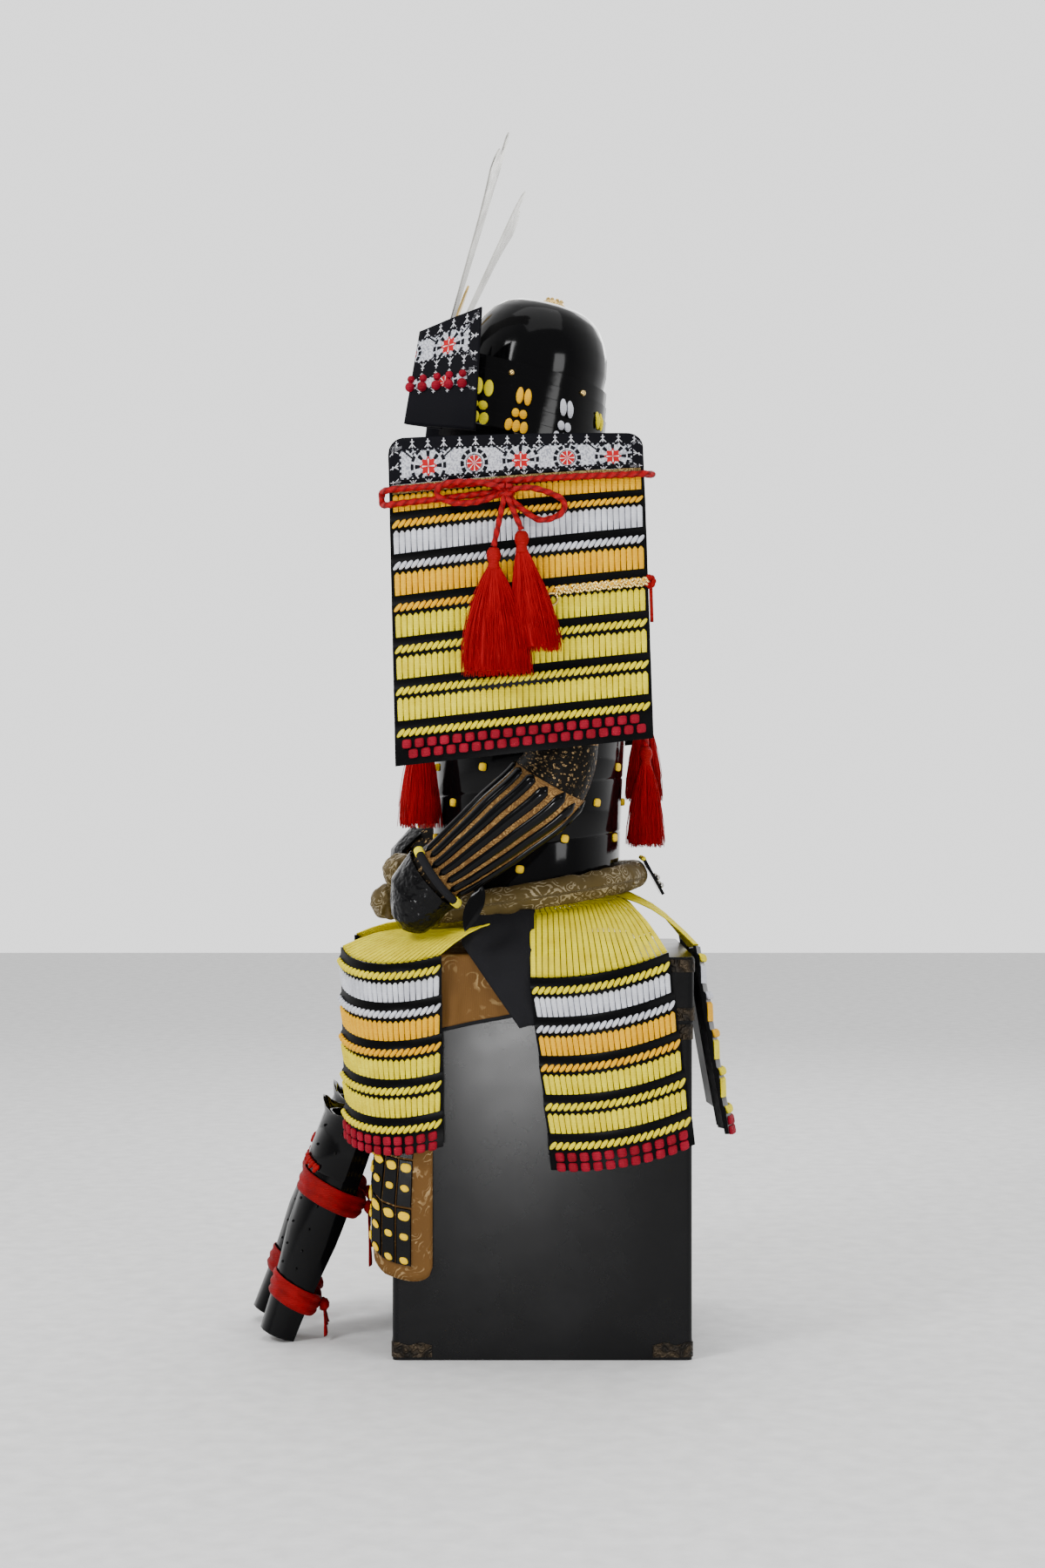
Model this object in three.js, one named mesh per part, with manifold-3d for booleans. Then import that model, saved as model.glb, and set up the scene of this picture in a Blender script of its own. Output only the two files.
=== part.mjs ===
// Samurai armour set out on its lacquered storage box, as it is displayed without a wearer.
// Millimetres, +Z up. The armour faces -Y and its left arm is at +X.
// Origin: the centre of the box's underside, on the floor.
import * as THREE from "three";
import { mergeVertices } from "three/addons/utils/BufferGeometryUtils.js";
import Module from "manifold-3d";

const wasm = await Module();
wasm.setup();

// Driving dimensions
const GAP = 0.4; // between pieces that touch
const LACQUER = 3; // lacquered plate
const CLOTH = 2.4; // brocade with its backing
const CORD_RADIUS = 4; // round silk cord
const BOX = { halfWidth: 203, halfDepth: 189, height: 425, wall: 9, corner: 8 };
const LID = { halfWidth: 205, halfDepth: 191, top: 508, wall: 8, floor: 425.4 };
const WAIST = { z: 582, y: -21, slope: 0.168 };
const ROLL_RADIUS = 19.5;
const PANEL_PITCH = 48.3; // one lame of a tasset
const HELMET = { y: -14, z: 1258, tilt: 14, yaw: 4, halfWidth: 90, halfLength: 96 };

// Cuirass sections: height above the floor, half width, half depth and centre along Y
const CUIRASS = [
  { z: 582, halfWidth: 152, halfDepth: 124, y: -21 },
  { z: 650, halfWidth: 155, halfDepth: 124, y: -20 },
  { z: 760, halfWidth: 165, halfDepth: 125, y: -16 },
  { z: 860, halfWidth: 171, halfDepth: 129, y: -14 },
  { z: 950, halfWidth: 171, halfDepth: 129, y: -12 },
  { z: 1090, halfWidth: 158, halfDepth: 116, y: -8 },
];
const ARMPIT = 948;
const CHEST_TOP = 1042;
const BACK_TOP = 1082;

// Arm line, shoulder to fingers, with the half sizes across and in the arm's plane
const ARM = [
  { x: 150, y: -9, z: 1091, across: 40, deep: 38 },
  { x: 196, y: -12, z: 1066, across: 43, deep: 44 },
  { x: 221, y: -8, z: 1000, across: 45, deep: 46 },
  { x: 226, y: 8, z: 890, across: 44, deep: 46 },
  { x: 228, y: 24, z: 795, across: 44, deep: 47 },
  { x: 226, y: 10, z: 730, across: 46, deep: 49 },
  { x: 214, y: -48, z: 676, across: 46, deep: 47 },
  { x: 202, y: -102, z: 632, across: 42, deep: 43 },
  { x: 191, y: -148, z: 595, across: 38, deep: 38 },
  { x: 184, y: -159, z: 566, across: 36, deep: 26 },
  { x: 179, y: -164, z: 545, across: 28, deep: 17 },
];
const ELBOW = 5; // row of the table
const WRIST = 8;
const SPLINTS = 7;

// Tassets of the left half. An arc about x, y runs over the angles from, to; z is its top edge.
// rise tilts the rows, lift raises their ends, flare and drift move the foot, waist is where its cords start.
const TASSETS = [
  { name: "front_left", x: 122, y: -151, radius: 105, from: -80, to: 13, z: 500, rise: -6, lift: 14,
    flare: -4, drift: 3, waist: [30, 84] },
  { name: "side_left", x: 13, y: 71, radius: 228, from: -22, to: 22, z: 490, rise: 32, lift: 9,
    flare: 7, drift: 30, waist: [91, 150] },
  { name: "rear_left", x: 88, y: -90, radius: 292, from: 103, to: 75, z: 514, rise: 12, lift: 0,
    flare: 42, drift: 0, waist: [176, 153] },
];
const FRONT_TASSET = { name: "front_centre", x: 0, y: 260, radius: 468, from: -98.5, to: -81.5, z: 505,
  rise: 0, lift: 4, flare: 0, drift: 0, waist: [-25, 25] };

// Materials
const finish = (color, roughness, metalness = 0) => new THREE.MeshStandardMaterial({ color, roughness, metalness });
const BLACK_LACQUER = finish(0x0c0c0d, 0.18);
const BOX_LACQUER = finish(0x17181a, 0.35);
const YELLOW_LACING = finish(0xe2d04a, 0.85);
const BROCADE = finish(0x7a5a28, 0.7);
const ROLL_BROCADE = finish(0x6b5a33, 0.6);
const RED_SILK = finish(0xb01218, 0.7);
const PRINTED_LEATHER = finish(0xb9bac0, 0.75);
const SILVER = finish(0xb8b6ae, 0.35, 0.9);
const GOLD = finish(0xc9a44a, 0.3, 0.9);
const STAND_WOOD = finish(0x3a2a1c, 0.6);

const part = new THREE.Group();
const rad = THREE.MathUtils.degToRad;
const { lerp, clamp, smoothstep } = THREE.MathUtils;
const point = (x, y, z) => new THREE.Vector3(x, y, z);
const steps = (from, to, count) => Array.from({ length: count + 1 }, (_, i) => lerp(from, to, i / count));

// The value of one column of a table at a place along its key column, on straight lines between the rows
function read(rows, key, column, at) {
  const last = rows.length - 1;
  let i = 0;
  while (i < last - 1 && at > rows[i + 1][key]) i++;
  const share = clamp((at - rows[i][key]) / (rows[i + 1][key] - rows[i][key]), 0, 1);
  return lerp(rows[i][column], rows[i + 1][column], share);
}

// A closed mesh from points and triangles, turned so that its faces point out
function closed(points, faces) {
  let volume = 0;
  for (let i = 0; i < faces.length; i += 3) {
    const [a, b, c] = [points[faces[i]], points[faces[i + 1]], points[faces[i + 2]]];
    volume += a.dot(b.clone().cross(c));
  }
  if (volume < 0)
    for (let i = 0; i < faces.length; i += 3) [faces[i + 1], faces[i + 2]] = [faces[i + 2], faces[i + 1]];
  const geometry = new THREE.BufferGeometry().setFromPoints(points);
  geometry.setIndex(faces);
  geometry.computeVertexNormals();
  return geometry;
}

// The triangles that fill a closed outline of points in space
function fill(points) {
  const next = (i) => points[(i + 1) % points.length];
  const normal = points.reduce((sum, p, i) => sum.add(p.clone().cross(next(i))), point(0, 0, 0)).normalize();
  const right = points[Math.floor(points.length / 2)].clone().sub(points[0]);
  right.addScaledVector(normal, -right.dot(normal)).normalize();
  const up = normal.clone().cross(right);
  return THREE.ShapeUtils.triangulateShape(points.map((p) => new THREE.Vector2(p.dot(right), p.dot(up))), []);
}

// Sweeps a closed profile of [v, h] points over the stations; place(u, v, h) gives each point.
// With wrap the last station joins the first, and otherwise both ends are capped.
function sweep(profile, stations, place, wrap = false) {
  const outline = profile.map(([v, h]) => new THREE.Vector2(v, h));
  if (THREE.ShapeUtils.area(outline) < 0) outline.reverse();
  const n = outline.length;
  const points = stations.flatMap((u) => outline.map((p) => place(u, p.x, p.y)));
  const faces = [];
  const spans = wrap ? stations.length : stations.length - 1;
  for (let i = 0; i < spans; i++)
    for (let j = 0; j < n; j++) {
      const next = ((i + 1) % stations.length) * n;
      const k = (j + 1) % n;
      faces.push(i * n + j, i * n + k, next + k, i * n + j, next + k, next + j);
    }
  if (!wrap) {
    const end = (stations.length - 1) * n;
    for (const [a, b, c] of fill(points.slice(0, n))) faces.push(a, c, b);
    for (const [a, b, c] of fill(points.slice(end))) faces.push(end + a, end + b, end + c);
  }
  return closed(points, faces);
}

// A closed profile on both sides of an open line of [v, h] points
function thicken(line, thickness) {
  const side = (sign) =>
    line.map((p, i) => {
      const a = line[Math.max(i - 1, 0)];
      const b = line[Math.min(i + 1, line.length - 1)];
      const length = Math.hypot(b[0] - a[0], b[1] - a[1]);
      const half = (sign * thickness) / 2 / length;
      return [p[0] - (b[1] - a[1]) * half, p[1] + (b[0] - a[0]) * half];
    });
  return [...side(1), ...side(-1).reverse()];
}

// A wall's closed profile: the outer line of [v, h] points and the same line further in
const walled = (line, thickness) => [...line, ...line.map(([v, h]) => [v, h - thickness]).reverse()];

// Moves the points of a surface out along its normal; v runs from 0 to the limit
const offset = (surface, limit) => (u, v, h) => {
  const step = 0.02;
  const along = surface(u, Math.min(limit, v + step)).sub(surface(u, Math.max(0, v - step)));
  const across = surface(u + step, v).sub(surface(u - step, v));
  return surface(u, v).addScaledVector(across.cross(along).normalize(), h);
};

// A cord along a smooth curve through the points
function rope(points, radius, count, { loop = false, sides = 5, tension = 0.5 } = {}) {
  const curve = new THREE.CatmullRomCurve3(points, loop, "catmullrom", tension);
  const frames = curve.computeFrenetFrames(count, loop);
  const ring = steps(0, 2 * Math.PI, sides)
    .slice(1)
    .map((a) => [radius * Math.cos(a), radius * Math.sin(a)]);
  const stations = Array.from({ length: loop ? count : count + 1 }, (_, i) => i);
  const place = (i, v, h) =>
    curve
      .getPointAt(i / count)
      .addScaledVector(frames.normals[i], v)
      .addScaledVector(frames.binormals[i], h);
  return sweep(ring, stations, place, loop);
}

function ellipsoid(centre, size, wide = 10, high = 7) {
  const geometry = new THREE.SphereGeometry(1, wide, high);
  geometry.scale(...size);
  return geometry.translate(...centre);
}

function block(size, centre) {
  return new THREE.BoxGeometry(...size).translate(...centre);
}

function toSolid(geometry) {
  const bare = geometry.clone();
  bare.deleteAttribute("normal");
  bare.deleteAttribute("uv");
  const merged = mergeVertices(bare, 1e-3);
  return new wasm.Manifold(
    new wasm.Mesh({
      numProp: 3,
      vertProperties: merged.attributes.position.array,
      triVerts: new Uint32Array(merged.index.array),
    }),
  );
}

function toGeometry(solid) {
  const mesh = solid.getMesh();
  const geometry = new THREE.BufferGeometry();
  geometry.setAttribute("position", new THREE.BufferAttribute(mesh.vertProperties, 3));
  geometry.setIndex(new THREE.BufferAttribute(mesh.triVerts, 1));
  geometry.computeVertexNormals();
  return geometry;
}

const join = (pieces) => toGeometry(pieces.map(toSolid).reduce((a, b) => a.add(b)));
const cut = (piece, tool) => toGeometry(toSolid(piece).subtract(toSolid(tool)));

function add(name, geometry, material, group = part) {
  const mesh = new THREE.Mesh(geometry, material);
  mesh.name = name;
  group.add(mesh);
  return mesh;
}

// Adds a left-hand piece and its mirror image; the name holds "left"
function addPair(name, geometry, material, group = part) {
  add(name, geometry, material, group);
  add(name.replace("left", "right"), geometry, material, group).scale.x = -1;
}

// Storage box

function roundedBlock(halfWidth, halfDepth, low, high, corner) {
  const shape = new THREE.Shape();
  const [x, y] = [halfWidth - corner, halfDepth - corner];
  shape.absarc(x, y, corner, 0, Math.PI / 2);
  shape.absarc(-x, y, corner, Math.PI / 2, Math.PI);
  shape.absarc(-x, -y, corner, Math.PI, 1.5 * Math.PI);
  shape.absarc(x, -y, corner, 1.5 * Math.PI, 2 * Math.PI);
  const options = { depth: high - low, bevelEnabled: false, curveSegments: 3 };
  return new THREE.ExtrudeGeometry(shape, options).translate(0, 0, low);
}

function makeBox() {
  const body = roundedBlock(BOX.halfWidth, BOX.halfDepth, 0, BOX.height, BOX.corner);
  const inside = [BOX.halfWidth - BOX.wall, BOX.halfDepth - BOX.wall];
  const hollow = block([2 * inside[0], 2 * inside[1], BOX.height], [0, 0, BOX.wall + BOX.height / 2]);
  add("box_body", cut(body, hollow), BOX_LACQUER);
  const lid = roundedBlock(LID.halfWidth, LID.halfDepth, LID.floor, LID.top, BOX.corner);
  const under = block(
    [2 * (LID.halfWidth - LID.wall), 2 * (LID.halfDepth - LID.wall), LID.top - LID.floor],
    [0, 0, (LID.top + LID.floor) / 2 - LID.wall],
  );
  add("box_lid", cut(lid, under), BOX_LACQUER);
}

// Display stand inside the armour: foot, post, shoulder bar and head dome

const STAND = { y: -4, post: 36, barTop: 1127.8, barHalf: 164.8, neck: 1190 };
const HEAD = { radius: 66, z: 1291 };

function makeStand() {
  const foot = block([230, 130, 14], [0, STAND.y + 61, LID.top + GAP + 7]);
  const low = LID.top + GAP + 4;
  const post = block([STAND.post, STAND.post, STAND.neck - low], [0, STAND.y, (STAND.neck + low) / 2]);
  const bar = block([2 * STAND.barHalf, 34, 26], [0, STAND.y, STAND.barTop - 13]);
  const dome = steps(0, 105, 7).map((a) => {
    return new THREE.Vector2(HEAD.radius * Math.sin(rad(a)), HEAD.radius * Math.cos(rad(a)));
  });
  const base = STAND.neck - 6 - HEAD.z;
  const outline = [...dome, new THREE.Vector2(28, base), new THREE.Vector2(0, base)];
  const head = new THREE.LatheGeometry(outline.reverse(), 12).rotateX(Math.PI / 2).translate(0, STAND.y, HEAD.z);
  add("display_stand", join([foot, post, bar, head]), STAND_WOOD);
}

// Cuirass

// A point of the torso surface; angle is from the front (-Y) towards the armour's left (+X)
function torso(angle, z, out) {
  const [halfWidth, halfDepth, y] = ["halfWidth", "halfDepth", "y"].map((c) => read(CUIRASS, "z", c, z));
  const [s, c] = [Math.sin(angle), Math.cos(angle)];
  const square = (k) => Math.sign(k) * Math.abs(k) ** 0.88; // a slightly boxy section
  return point((halfWidth + out) * square(s), y - (halfDepth + out) * square(c), z);
}

const waistHeight = (y) => WAIST.z + (y - WAIST.y) * WAIST.slope;

function cuirassTop(angle) {
  const fromFront = Math.abs(Math.atan2(Math.sin(angle), Math.cos(angle))) * (180 / Math.PI);
  const chest = (CHEST_TOP - ARMPIT) * (1 - smoothstep(fromFront, 38, 66));
  const back = (BACK_TOP - ARMPIT) * smoothstep(fromFront, 112, 140);
  return ARMPIT + 5 + chest + back;
}

function makeCuirass() {
  const LAMES = 5; // horizontal plates below the armpit, each standing 1.2 mm proud of the one above
  const outer = [];
  for (let i = 0; i < LAMES; i++) outer.push([i / LAMES, 1.2], [(i + 0.93) / LAMES, 1.2], [(i + 0.96) / LAMES, 0]);
  const profile = [...outer, [1.4, 0.6], [2, 1], [2, -LACQUER], [1.4, -LACQUER - 0.1], [0.5, -LACQUER - 0.2], [0, -LACQUER]];
  const place = (angle, v, h) => {
    const base = torso(angle, WAIST.z, 0);
    const hem = waistHeight(base.y) - 6;
    const z = v <= 1 ? lerp(hem, ARMPIT, v) : lerp(ARMPIT, cuirassTop(angle), v - 1);
    return torso(angle, z, h);
  };
  const shell = sweep(profile, steps(0, 2 * Math.PI, 24).slice(1), place, true);
  add("cuirass", join([shell, shoulderStrap(1), shoulderStrap(-1)]), BLACK_LACQUER);
}

// A shoulder strap from the top of the back over the stand's bar to the top of the chest
function shoulderStrap(side) {
  const line = new THREE.CatmullRomCurve3([
    point(side * 84, 101, 1050),
    point(side * 90, 88, 1098),
    point(side * 95, 30, 1126),
    point(side * 95, -40, 1127),
    point(side * 90, -96, 1090),
    point(side * 82, -125, 1026),
  ]);
  const profile = [[-25, 0], [25, 0], [25, 5], [0, 8], [-25, 5]];
  const place = (t, across, up) => {
    const along = line.getTangentAt(t);
    const lift = point(1, 0, 0).cross(along).negate().normalize();
    return line.getPointAt(t).add(point(across, 0, 0)).addScaledVector(lift, up);
  };
  return sweep(profile, steps(0, 1, 7), place);
}

// Padded waist roll, wound round the hem and knotted in front
function rollPoint(angle, out, up) {
  const base = torso(angle, WAIST.z, 0);
  const middle = torso(angle, WAIST.z, ROLL_RADIUS + 0.6 + GAP);
  const outward = middle.clone().sub(base).normalize();
  middle.z = waistHeight(middle.y);
  return middle.addScaledVector(outward, out).add(point(0, 0, up));
}

function makeRoll() {
  const ring = steps(0, 2 * Math.PI, 7)
    .slice(1)
    .map((a) => [ROLL_RADIUS * Math.cos(a), ROLL_RADIUS * Math.sin(a)]);
  const roll = sweep(ring, steps(0, 2 * Math.PI, 26).slice(1), rollPoint, true);
  const front = rollPoint(0, ROLL_RADIUS, 0);
  const upper = ellipsoid([10, front.y - 2, front.z + 52], [46, 26, 26], 10, 7);
  const lower = ellipsoid([-6, front.y - 18, front.z + 11], [42, 27, 26], 10, 7);
  const neck = ellipsoid([0, front.y - 4, front.z + 28], [26, 20, 20], 7, 5);
  add("waist_roll", join([roll, upper, lower, neck]), ROLL_BROCADE);
}

// Holder plate at the back of the waist
function makeWaistHolder() {
  const rear = rollPoint(Math.PI, ROLL_RADIUS, 0);
  const line = [[rear.y - 7, rear.z + 20], [rear.y + 1, rear.z + 5], [rear.y + 18, rear.z - 26]];
  const place = (x, y, z) => point(x, y, z);
  add("waist_holder", sweep(thicken(line, 4), [-42, 0, 42], place), BLACK_LACQUER);
}

// Lames laced into a curved panel

// Cross-section of a stack of lames: every lower lame stands outside the one above
function lameProfile(count, pitch, foot) {
  const outer = [];
  for (let i = 0; i < count; i++) {
    const top = i * pitch;
    const deep = i === count - 1 ? foot : pitch;
    outer.push([top, 4], [top + 9, 4], [top + 13, 6.4], [top + deep - 0.5, i === count - 1 ? 5 : 2]);
  }
  const bottom = outer[outer.length - 1][0];
  return [...outer, [bottom, 0], [bottom * 0.66, -1], [bottom * 0.33, -1], [0, 0]];
}

// A point of a tasset, u from -1 to 1 across, v down from its top edge, h outwards
function tassetPoint(t, u, v, h) {
  const angle = rad(lerp(t.from, t.to, (u + 1) / 2));
  const reach = v / (5 * PANEL_PITCH);
  const r = t.radius + t.flare * (t.flare < 0 ? reach * reach : reach) + h;
  const z = t.z - v + (t.rise / 2) * u + t.lift * u * u;
  return point(t.x + r * Math.cos(angle), t.y + r * Math.sin(angle) + t.drift * reach, z);
}

function makeTasset(t, adder) {
  const plates = sweep(lameProfile(5, PANEL_PITCH, 46), steps(-1, 1, 5), (u, v, h) => tassetPoint(t, u, v, h));
  adder("tasset_" + t.name, plates, BLACK_LACQUER);
  // Its suspension cords hang from the hem, pass under the roll and spread to the top lame
  const middle = (u, v) => {
    const angle = rad(lerp(t.waist[0], t.waist[1], (u + 1) / 2));
    const base = torso(angle, WAIST.z, 0);
    const outward = torso(angle, WAIST.z, 1).sub(base).normalize();
    const from = (out, z) => base.clone().addScaledVector(outward, out).setZ(z);
    const roll = rollPoint(angle, 0, 0).z;
    const line = [from(-2, waistHeight(base.y) - 7), from(0, roll - 20.5), from(17, roll - 26)];
    line.push(tassetPoint(t, u, -GAP - 1.2, 1.5));
    const i = Math.min(2, Math.floor(v));
    const crown = i === 2 ? 10 * Math.sin(Math.PI * (v - 2)) : 0; // it rounds the lid's edge
    return line[i].lerp(line[i + 1], v - i).add(point(0, 0, crown));
  };
  const profile = walled([[0, 1], [1, 1], [2, 1], [2.5, 1], [3, 1]], 2);
  adder("cords_" + t.name, sweep(profile, steps(-1, 1, 5), offset(middle, 3)), YELLOW_LACING);
}

function makeTassets() {
  for (const t of TASSETS) makeTasset(t, addPair);
  makeTasset(FRONT_TASSET, add);
}

// Armoured sleeve, its splints and the plate over the hand

const armLine = (rows) => new THREE.CatmullRomCurve3(rows.map((row) => point(row.x, row.y, row.z)));

// A point of an arm's surface; at counts the table's rows, angle turns from the front side outwards
function armPoint(rows, angle, at, out) {
  const t = at / (rows.length - 1);
  const line = armLine(rows);
  const along = line.getTangent(t);
  const front = along.clone().cross(point(1, 0, 0)).normalize();
  const side = front.clone().cross(along).normalize();
  const numbered = rows.map((row, i) => ({ ...row, i }));
  const deep = read(numbered, "i", "deep", at) + out;
  const across = read(numbered, "i", "across", at) + out;
  return line
    .getPoint(t)
    .addScaledVector(front, deep * Math.cos(angle))
    .addScaledVector(side, across * Math.sin(angle));
}

function makeArm(rows, adder) {
  // The sleeve is gathered at the elbow: three creases across the inside of the bend
  const crease = (at, angle) => 3 * Math.sin(at * 7) * smoothstep(Math.cos(angle), 0, 1) * (at > 3 && at < 5);
  const outer = [0, 1, 2, 3.2, 4.1, 5, 5.5, 6, 6.5, 7, 7.5, WRIST].map((at) => [at, 0]);
  const skin = (angle, at, out) => armPoint(rows, angle, at, out - crease(at, angle));
  adder("sleeve_left", sweep(walled(outer, CLOTH), steps(0, 2 * Math.PI, 12).slice(1), skin, true), BROCADE);

  // Splints on their backing; the angles spread less towards the wrist
  const start = ELBOW;
  const end = WRIST - 0.5;
  const panel = [];
  for (let i = 0; i < SPLINTS; i++) {
    const middle = (2 * i - SPLINTS + 1) / SPLINTS;
    panel.push([middle - 0.1, 1], [middle - 0.08, 4], [middle + 0.08, 4], [middle + 0.1, 1]);
  }
  for (let i = 0; i <= SPLINTS; i++) panel.push([(SPLINTS - 2 * i) / SPLINTS * 0.96, 0]);
  const place = (at, across, up) => {
    const spread = lerp(92, 60, (at - start) / (end - start));
    return armPoint(rows, rad(90 + spread * across), at, GAP + 1 + up);
  };
  adder("splints_left", sweep(panel, steps(start, end, 5), place), BLACK_LACQUER);

  // The plate begins over the wrist and domes down over the fingers
  const dome = walled([[WRIST - 0.3, 4], [WRIST + 0.2, 5], [WRIST + 0.8, 5], [WRIST + 1.4, 5], [WRIST + 1.95, 0]], LACQUER);
  const over = (angle, at, out) => armPoint(rows, angle, at, GAP + 2.6 + out);
  adder("hand_plate_left", sweep(dome, steps(rad(-50), rad(170), 10), over), BLACK_LACQUER);
}

function makeArms() {
  makeArm(ARM, (name, geometry, material) => add(name, geometry, material));
  // The right forearm lies a little higher and further forward
  const lifted = ARM.map((row, i) => {
    const share = clamp((i - ELBOW + 1) / (WRIST - ELBOW + 1), 0, 1);
    return { ...row, y: row.y - 20 * share, z: row.z + 24 * share };
  });
  makeArm(lifted, (name, geometry, material) => {
    add(name.replace("left", "right"), geometry, material).scale.x = -1;
  });
}

// Shoulder guard: a rounded top board over six lames, slightly wrapped round the arm

const GUARD = { x: 296, bow: 20, top: 1093, y: -32.5, halfWidth: 157, pitch: 51.4, first: 34, foot: 55 };

// A point of the guard; u from -1 at the front to 1, v down from the lower edge of the top board, h outwards
function guardPoint(u, v, h) {
  const down = v / 347;
  const rise = v < 0 ? lerp(23, 12, -v / 56) : 23 + 12 * Math.min(1, v / 60);
  const splay = v < 0 ? (v / 50) ** 2 * 5 : 0;
  return point(
    GUARD.x - GUARD.bow * u * u + splay + h,
    GUARD.y + 10 * down + (GUARD.halfWidth + 2 * down) * u,
    GUARD.top - v + (rise * (u + 1)) / 2,
  );
}

function makeGuards() {
  const corner = 20;
  const place = (u, v, h) => {
    const along = (1 - Math.abs(u)) * GUARD.halfWidth;
    const rounding = along < corner ? corner - Math.sqrt(corner ** 2 - (corner - along) ** 2) : 0;
    return guardPoint(u, -GAP - v * (54 - rounding - 3 * u), h);
  };
  const ends = [1, 0.992, 0.965, 0.92, 0.873];
  const across = [...ends.map((u) => -u), -0.4, 0, 0.4, ...ends.reverse()];
  addPair("guard_top_left", sweep([[0, 0], [0, 4], [1, 4], [1, 0]], across, place), PRINTED_LEATHER);

  const lames = lameProfile(6, GUARD.pitch, GUARD.foot).map(([v, h]) => [v + GUARD.first, h]);
  const foot = lames.findIndex(([v, h]) => h <= 0);
  const back = lames.slice(foot, -1);
  const profile = [[0, 0], [0, 3], [GUARD.first - 0.5, 3], ...lames.slice(0, foot), ...back];
  addPair("guard_left", sweep(profile, steps(-1, 1, 4), guardPoint), BLACK_LACQUER);
}

// A silk tassel that hangs from its top; its locks stand apart below the head
function tassel(top, length, radius, squash = 1) {
  const outline = [[0, 0], [7, -3], [9.5, -11], [6, -19], [8.5, -28], [0, -28]].map(([r, z]) => new THREE.Vector2(r, z));
  const head = new THREE.LatheGeometry(outline.reverse(), 6).rotateX(Math.PI / 2);
  head.scale(Math.max(squash, 0.8), 1, 1).translate(top.x, top.y, top.z);
  const pieces = [head];
  const rings = [{ count: 7, reach: 1, turn: 0.1 }, { count: 3, reach: 0.36, turn: 0.5 }];
  for (const ring of rings)
    for (let i = 0; i < ring.count; i++) {
      const angle = (2 * Math.PI * i) / ring.count + ring.turn;
      const fall = length * (1 - 0.06 * ((i * 5) % 3)) - 26;
      const lock = (t, across, out) => {
        const r = lerp(5.5 * ring.reach ** 0.5, radius * ring.reach, Math.sin((Math.PI / 2) * t) ** 0.9) + out;
        const width = lerp(2.2, 0.27 * radius, t) * across;
        const x = r * Math.cos(angle) - width * Math.sin(angle);
        const y = r * Math.sin(angle) + width * Math.cos(angle);
        return point(top.x + x * squash, top.y + y, top.z - 26 - fall * t);
      };
      pieces.push(sweep([[-1, 1], [1, 1], [0, -3]], [0, 0.35, 1], lock));
    }
  return join(pieces);
}

// Red cords and tassels

function makeGuardCords() {
  const face = 7 + GAP + CORD_RADIUS;
  const through = (rows) => rows.map(([u, v, h]) => guardPoint(u, v, h));
  const belt = through([
    [1.062, 11, -3], [1.02, 11, face - 1], [0.9, 11, face], [0.3, 9, face], [-0.3, 8, face], [-0.9, 6, face],
    [-1.01, 6, face - 1], [-1.055, 8, 2], [-1.055, 21, 2], [-1.01, 24, face - 1], [-0.9, 24, face], [-0.09, 22, face + 1],
  ]);
  // Behind the rear edge it runs over the shoulder to the strap
  const shoulder = [point(113, 38, 1133), point(146, 60, 1137.6), point(205, 92, 1128), point(252, 116, 1112)];
  const tie = rope([...shoulder, ...belt], CORD_RADIUS, 32);
  const loop = (rows) => rope(through(rows), CORD_RADIUS, 9);
  const front = face + 8;
  const left = loop([[-0.09, 20, front], [-0.3, 8, front + 1], [-0.55, 6, front], [-0.62, 18, front], [-0.5, 31, front],
    [-0.3, 33, front + 1], [-0.09, 24, front]]);
  const right = loop([[-0.09, 22, front], [0.12, 22, front + 2], [0.34, 40, front], [0.34, 60, front], [0.18, 66, front],
    [0.04, 50, front + 2], [-0.09, 26, front]]);
  const tails = GUARD_TASSELS.map((row) => {
    const top = guardTasselTop(row);
    const lead = guardPoint(-0.09, 24, front + 3);
    const middle = lead.clone().lerp(top, 0.5).add(point(2, 0, 0));
    return rope([lead, middle, top.clone().add(point(0, 0, row.slack))], CORD_RADIUS - 0.6, 4);
  });
  const middle = guardPoint(-0.09, 22, face + 4);
  const knot = ellipsoid([middle.x, middle.y, middle.z], [12, 13, 12], 8, 6);
  addPair("guard_cord_left", join([tie, left, right, ...tails, knot]), RED_SILK);
  for (const row of GUARD_TASSELS)
    addPair("guard_tassel_left_" + row.name, tassel(guardTasselTop(row), row.length, row.radius, 0.5), RED_SILK);
}

// Tassels of a shoulder guard: place of the top, length, radius and slack below the cord
const GUARD_TASSELS = [
  { name: "front", y: -62, z: 1014, length: 162, radius: 33, slack: 0.6 },
  { name: "rear", y: -6, z: 1034, length: 152, radius: 21, slack: 1 },
];

function guardTasselTop(row) {
  return point(GUARD.x + 27, row.y, row.z);
}

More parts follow.
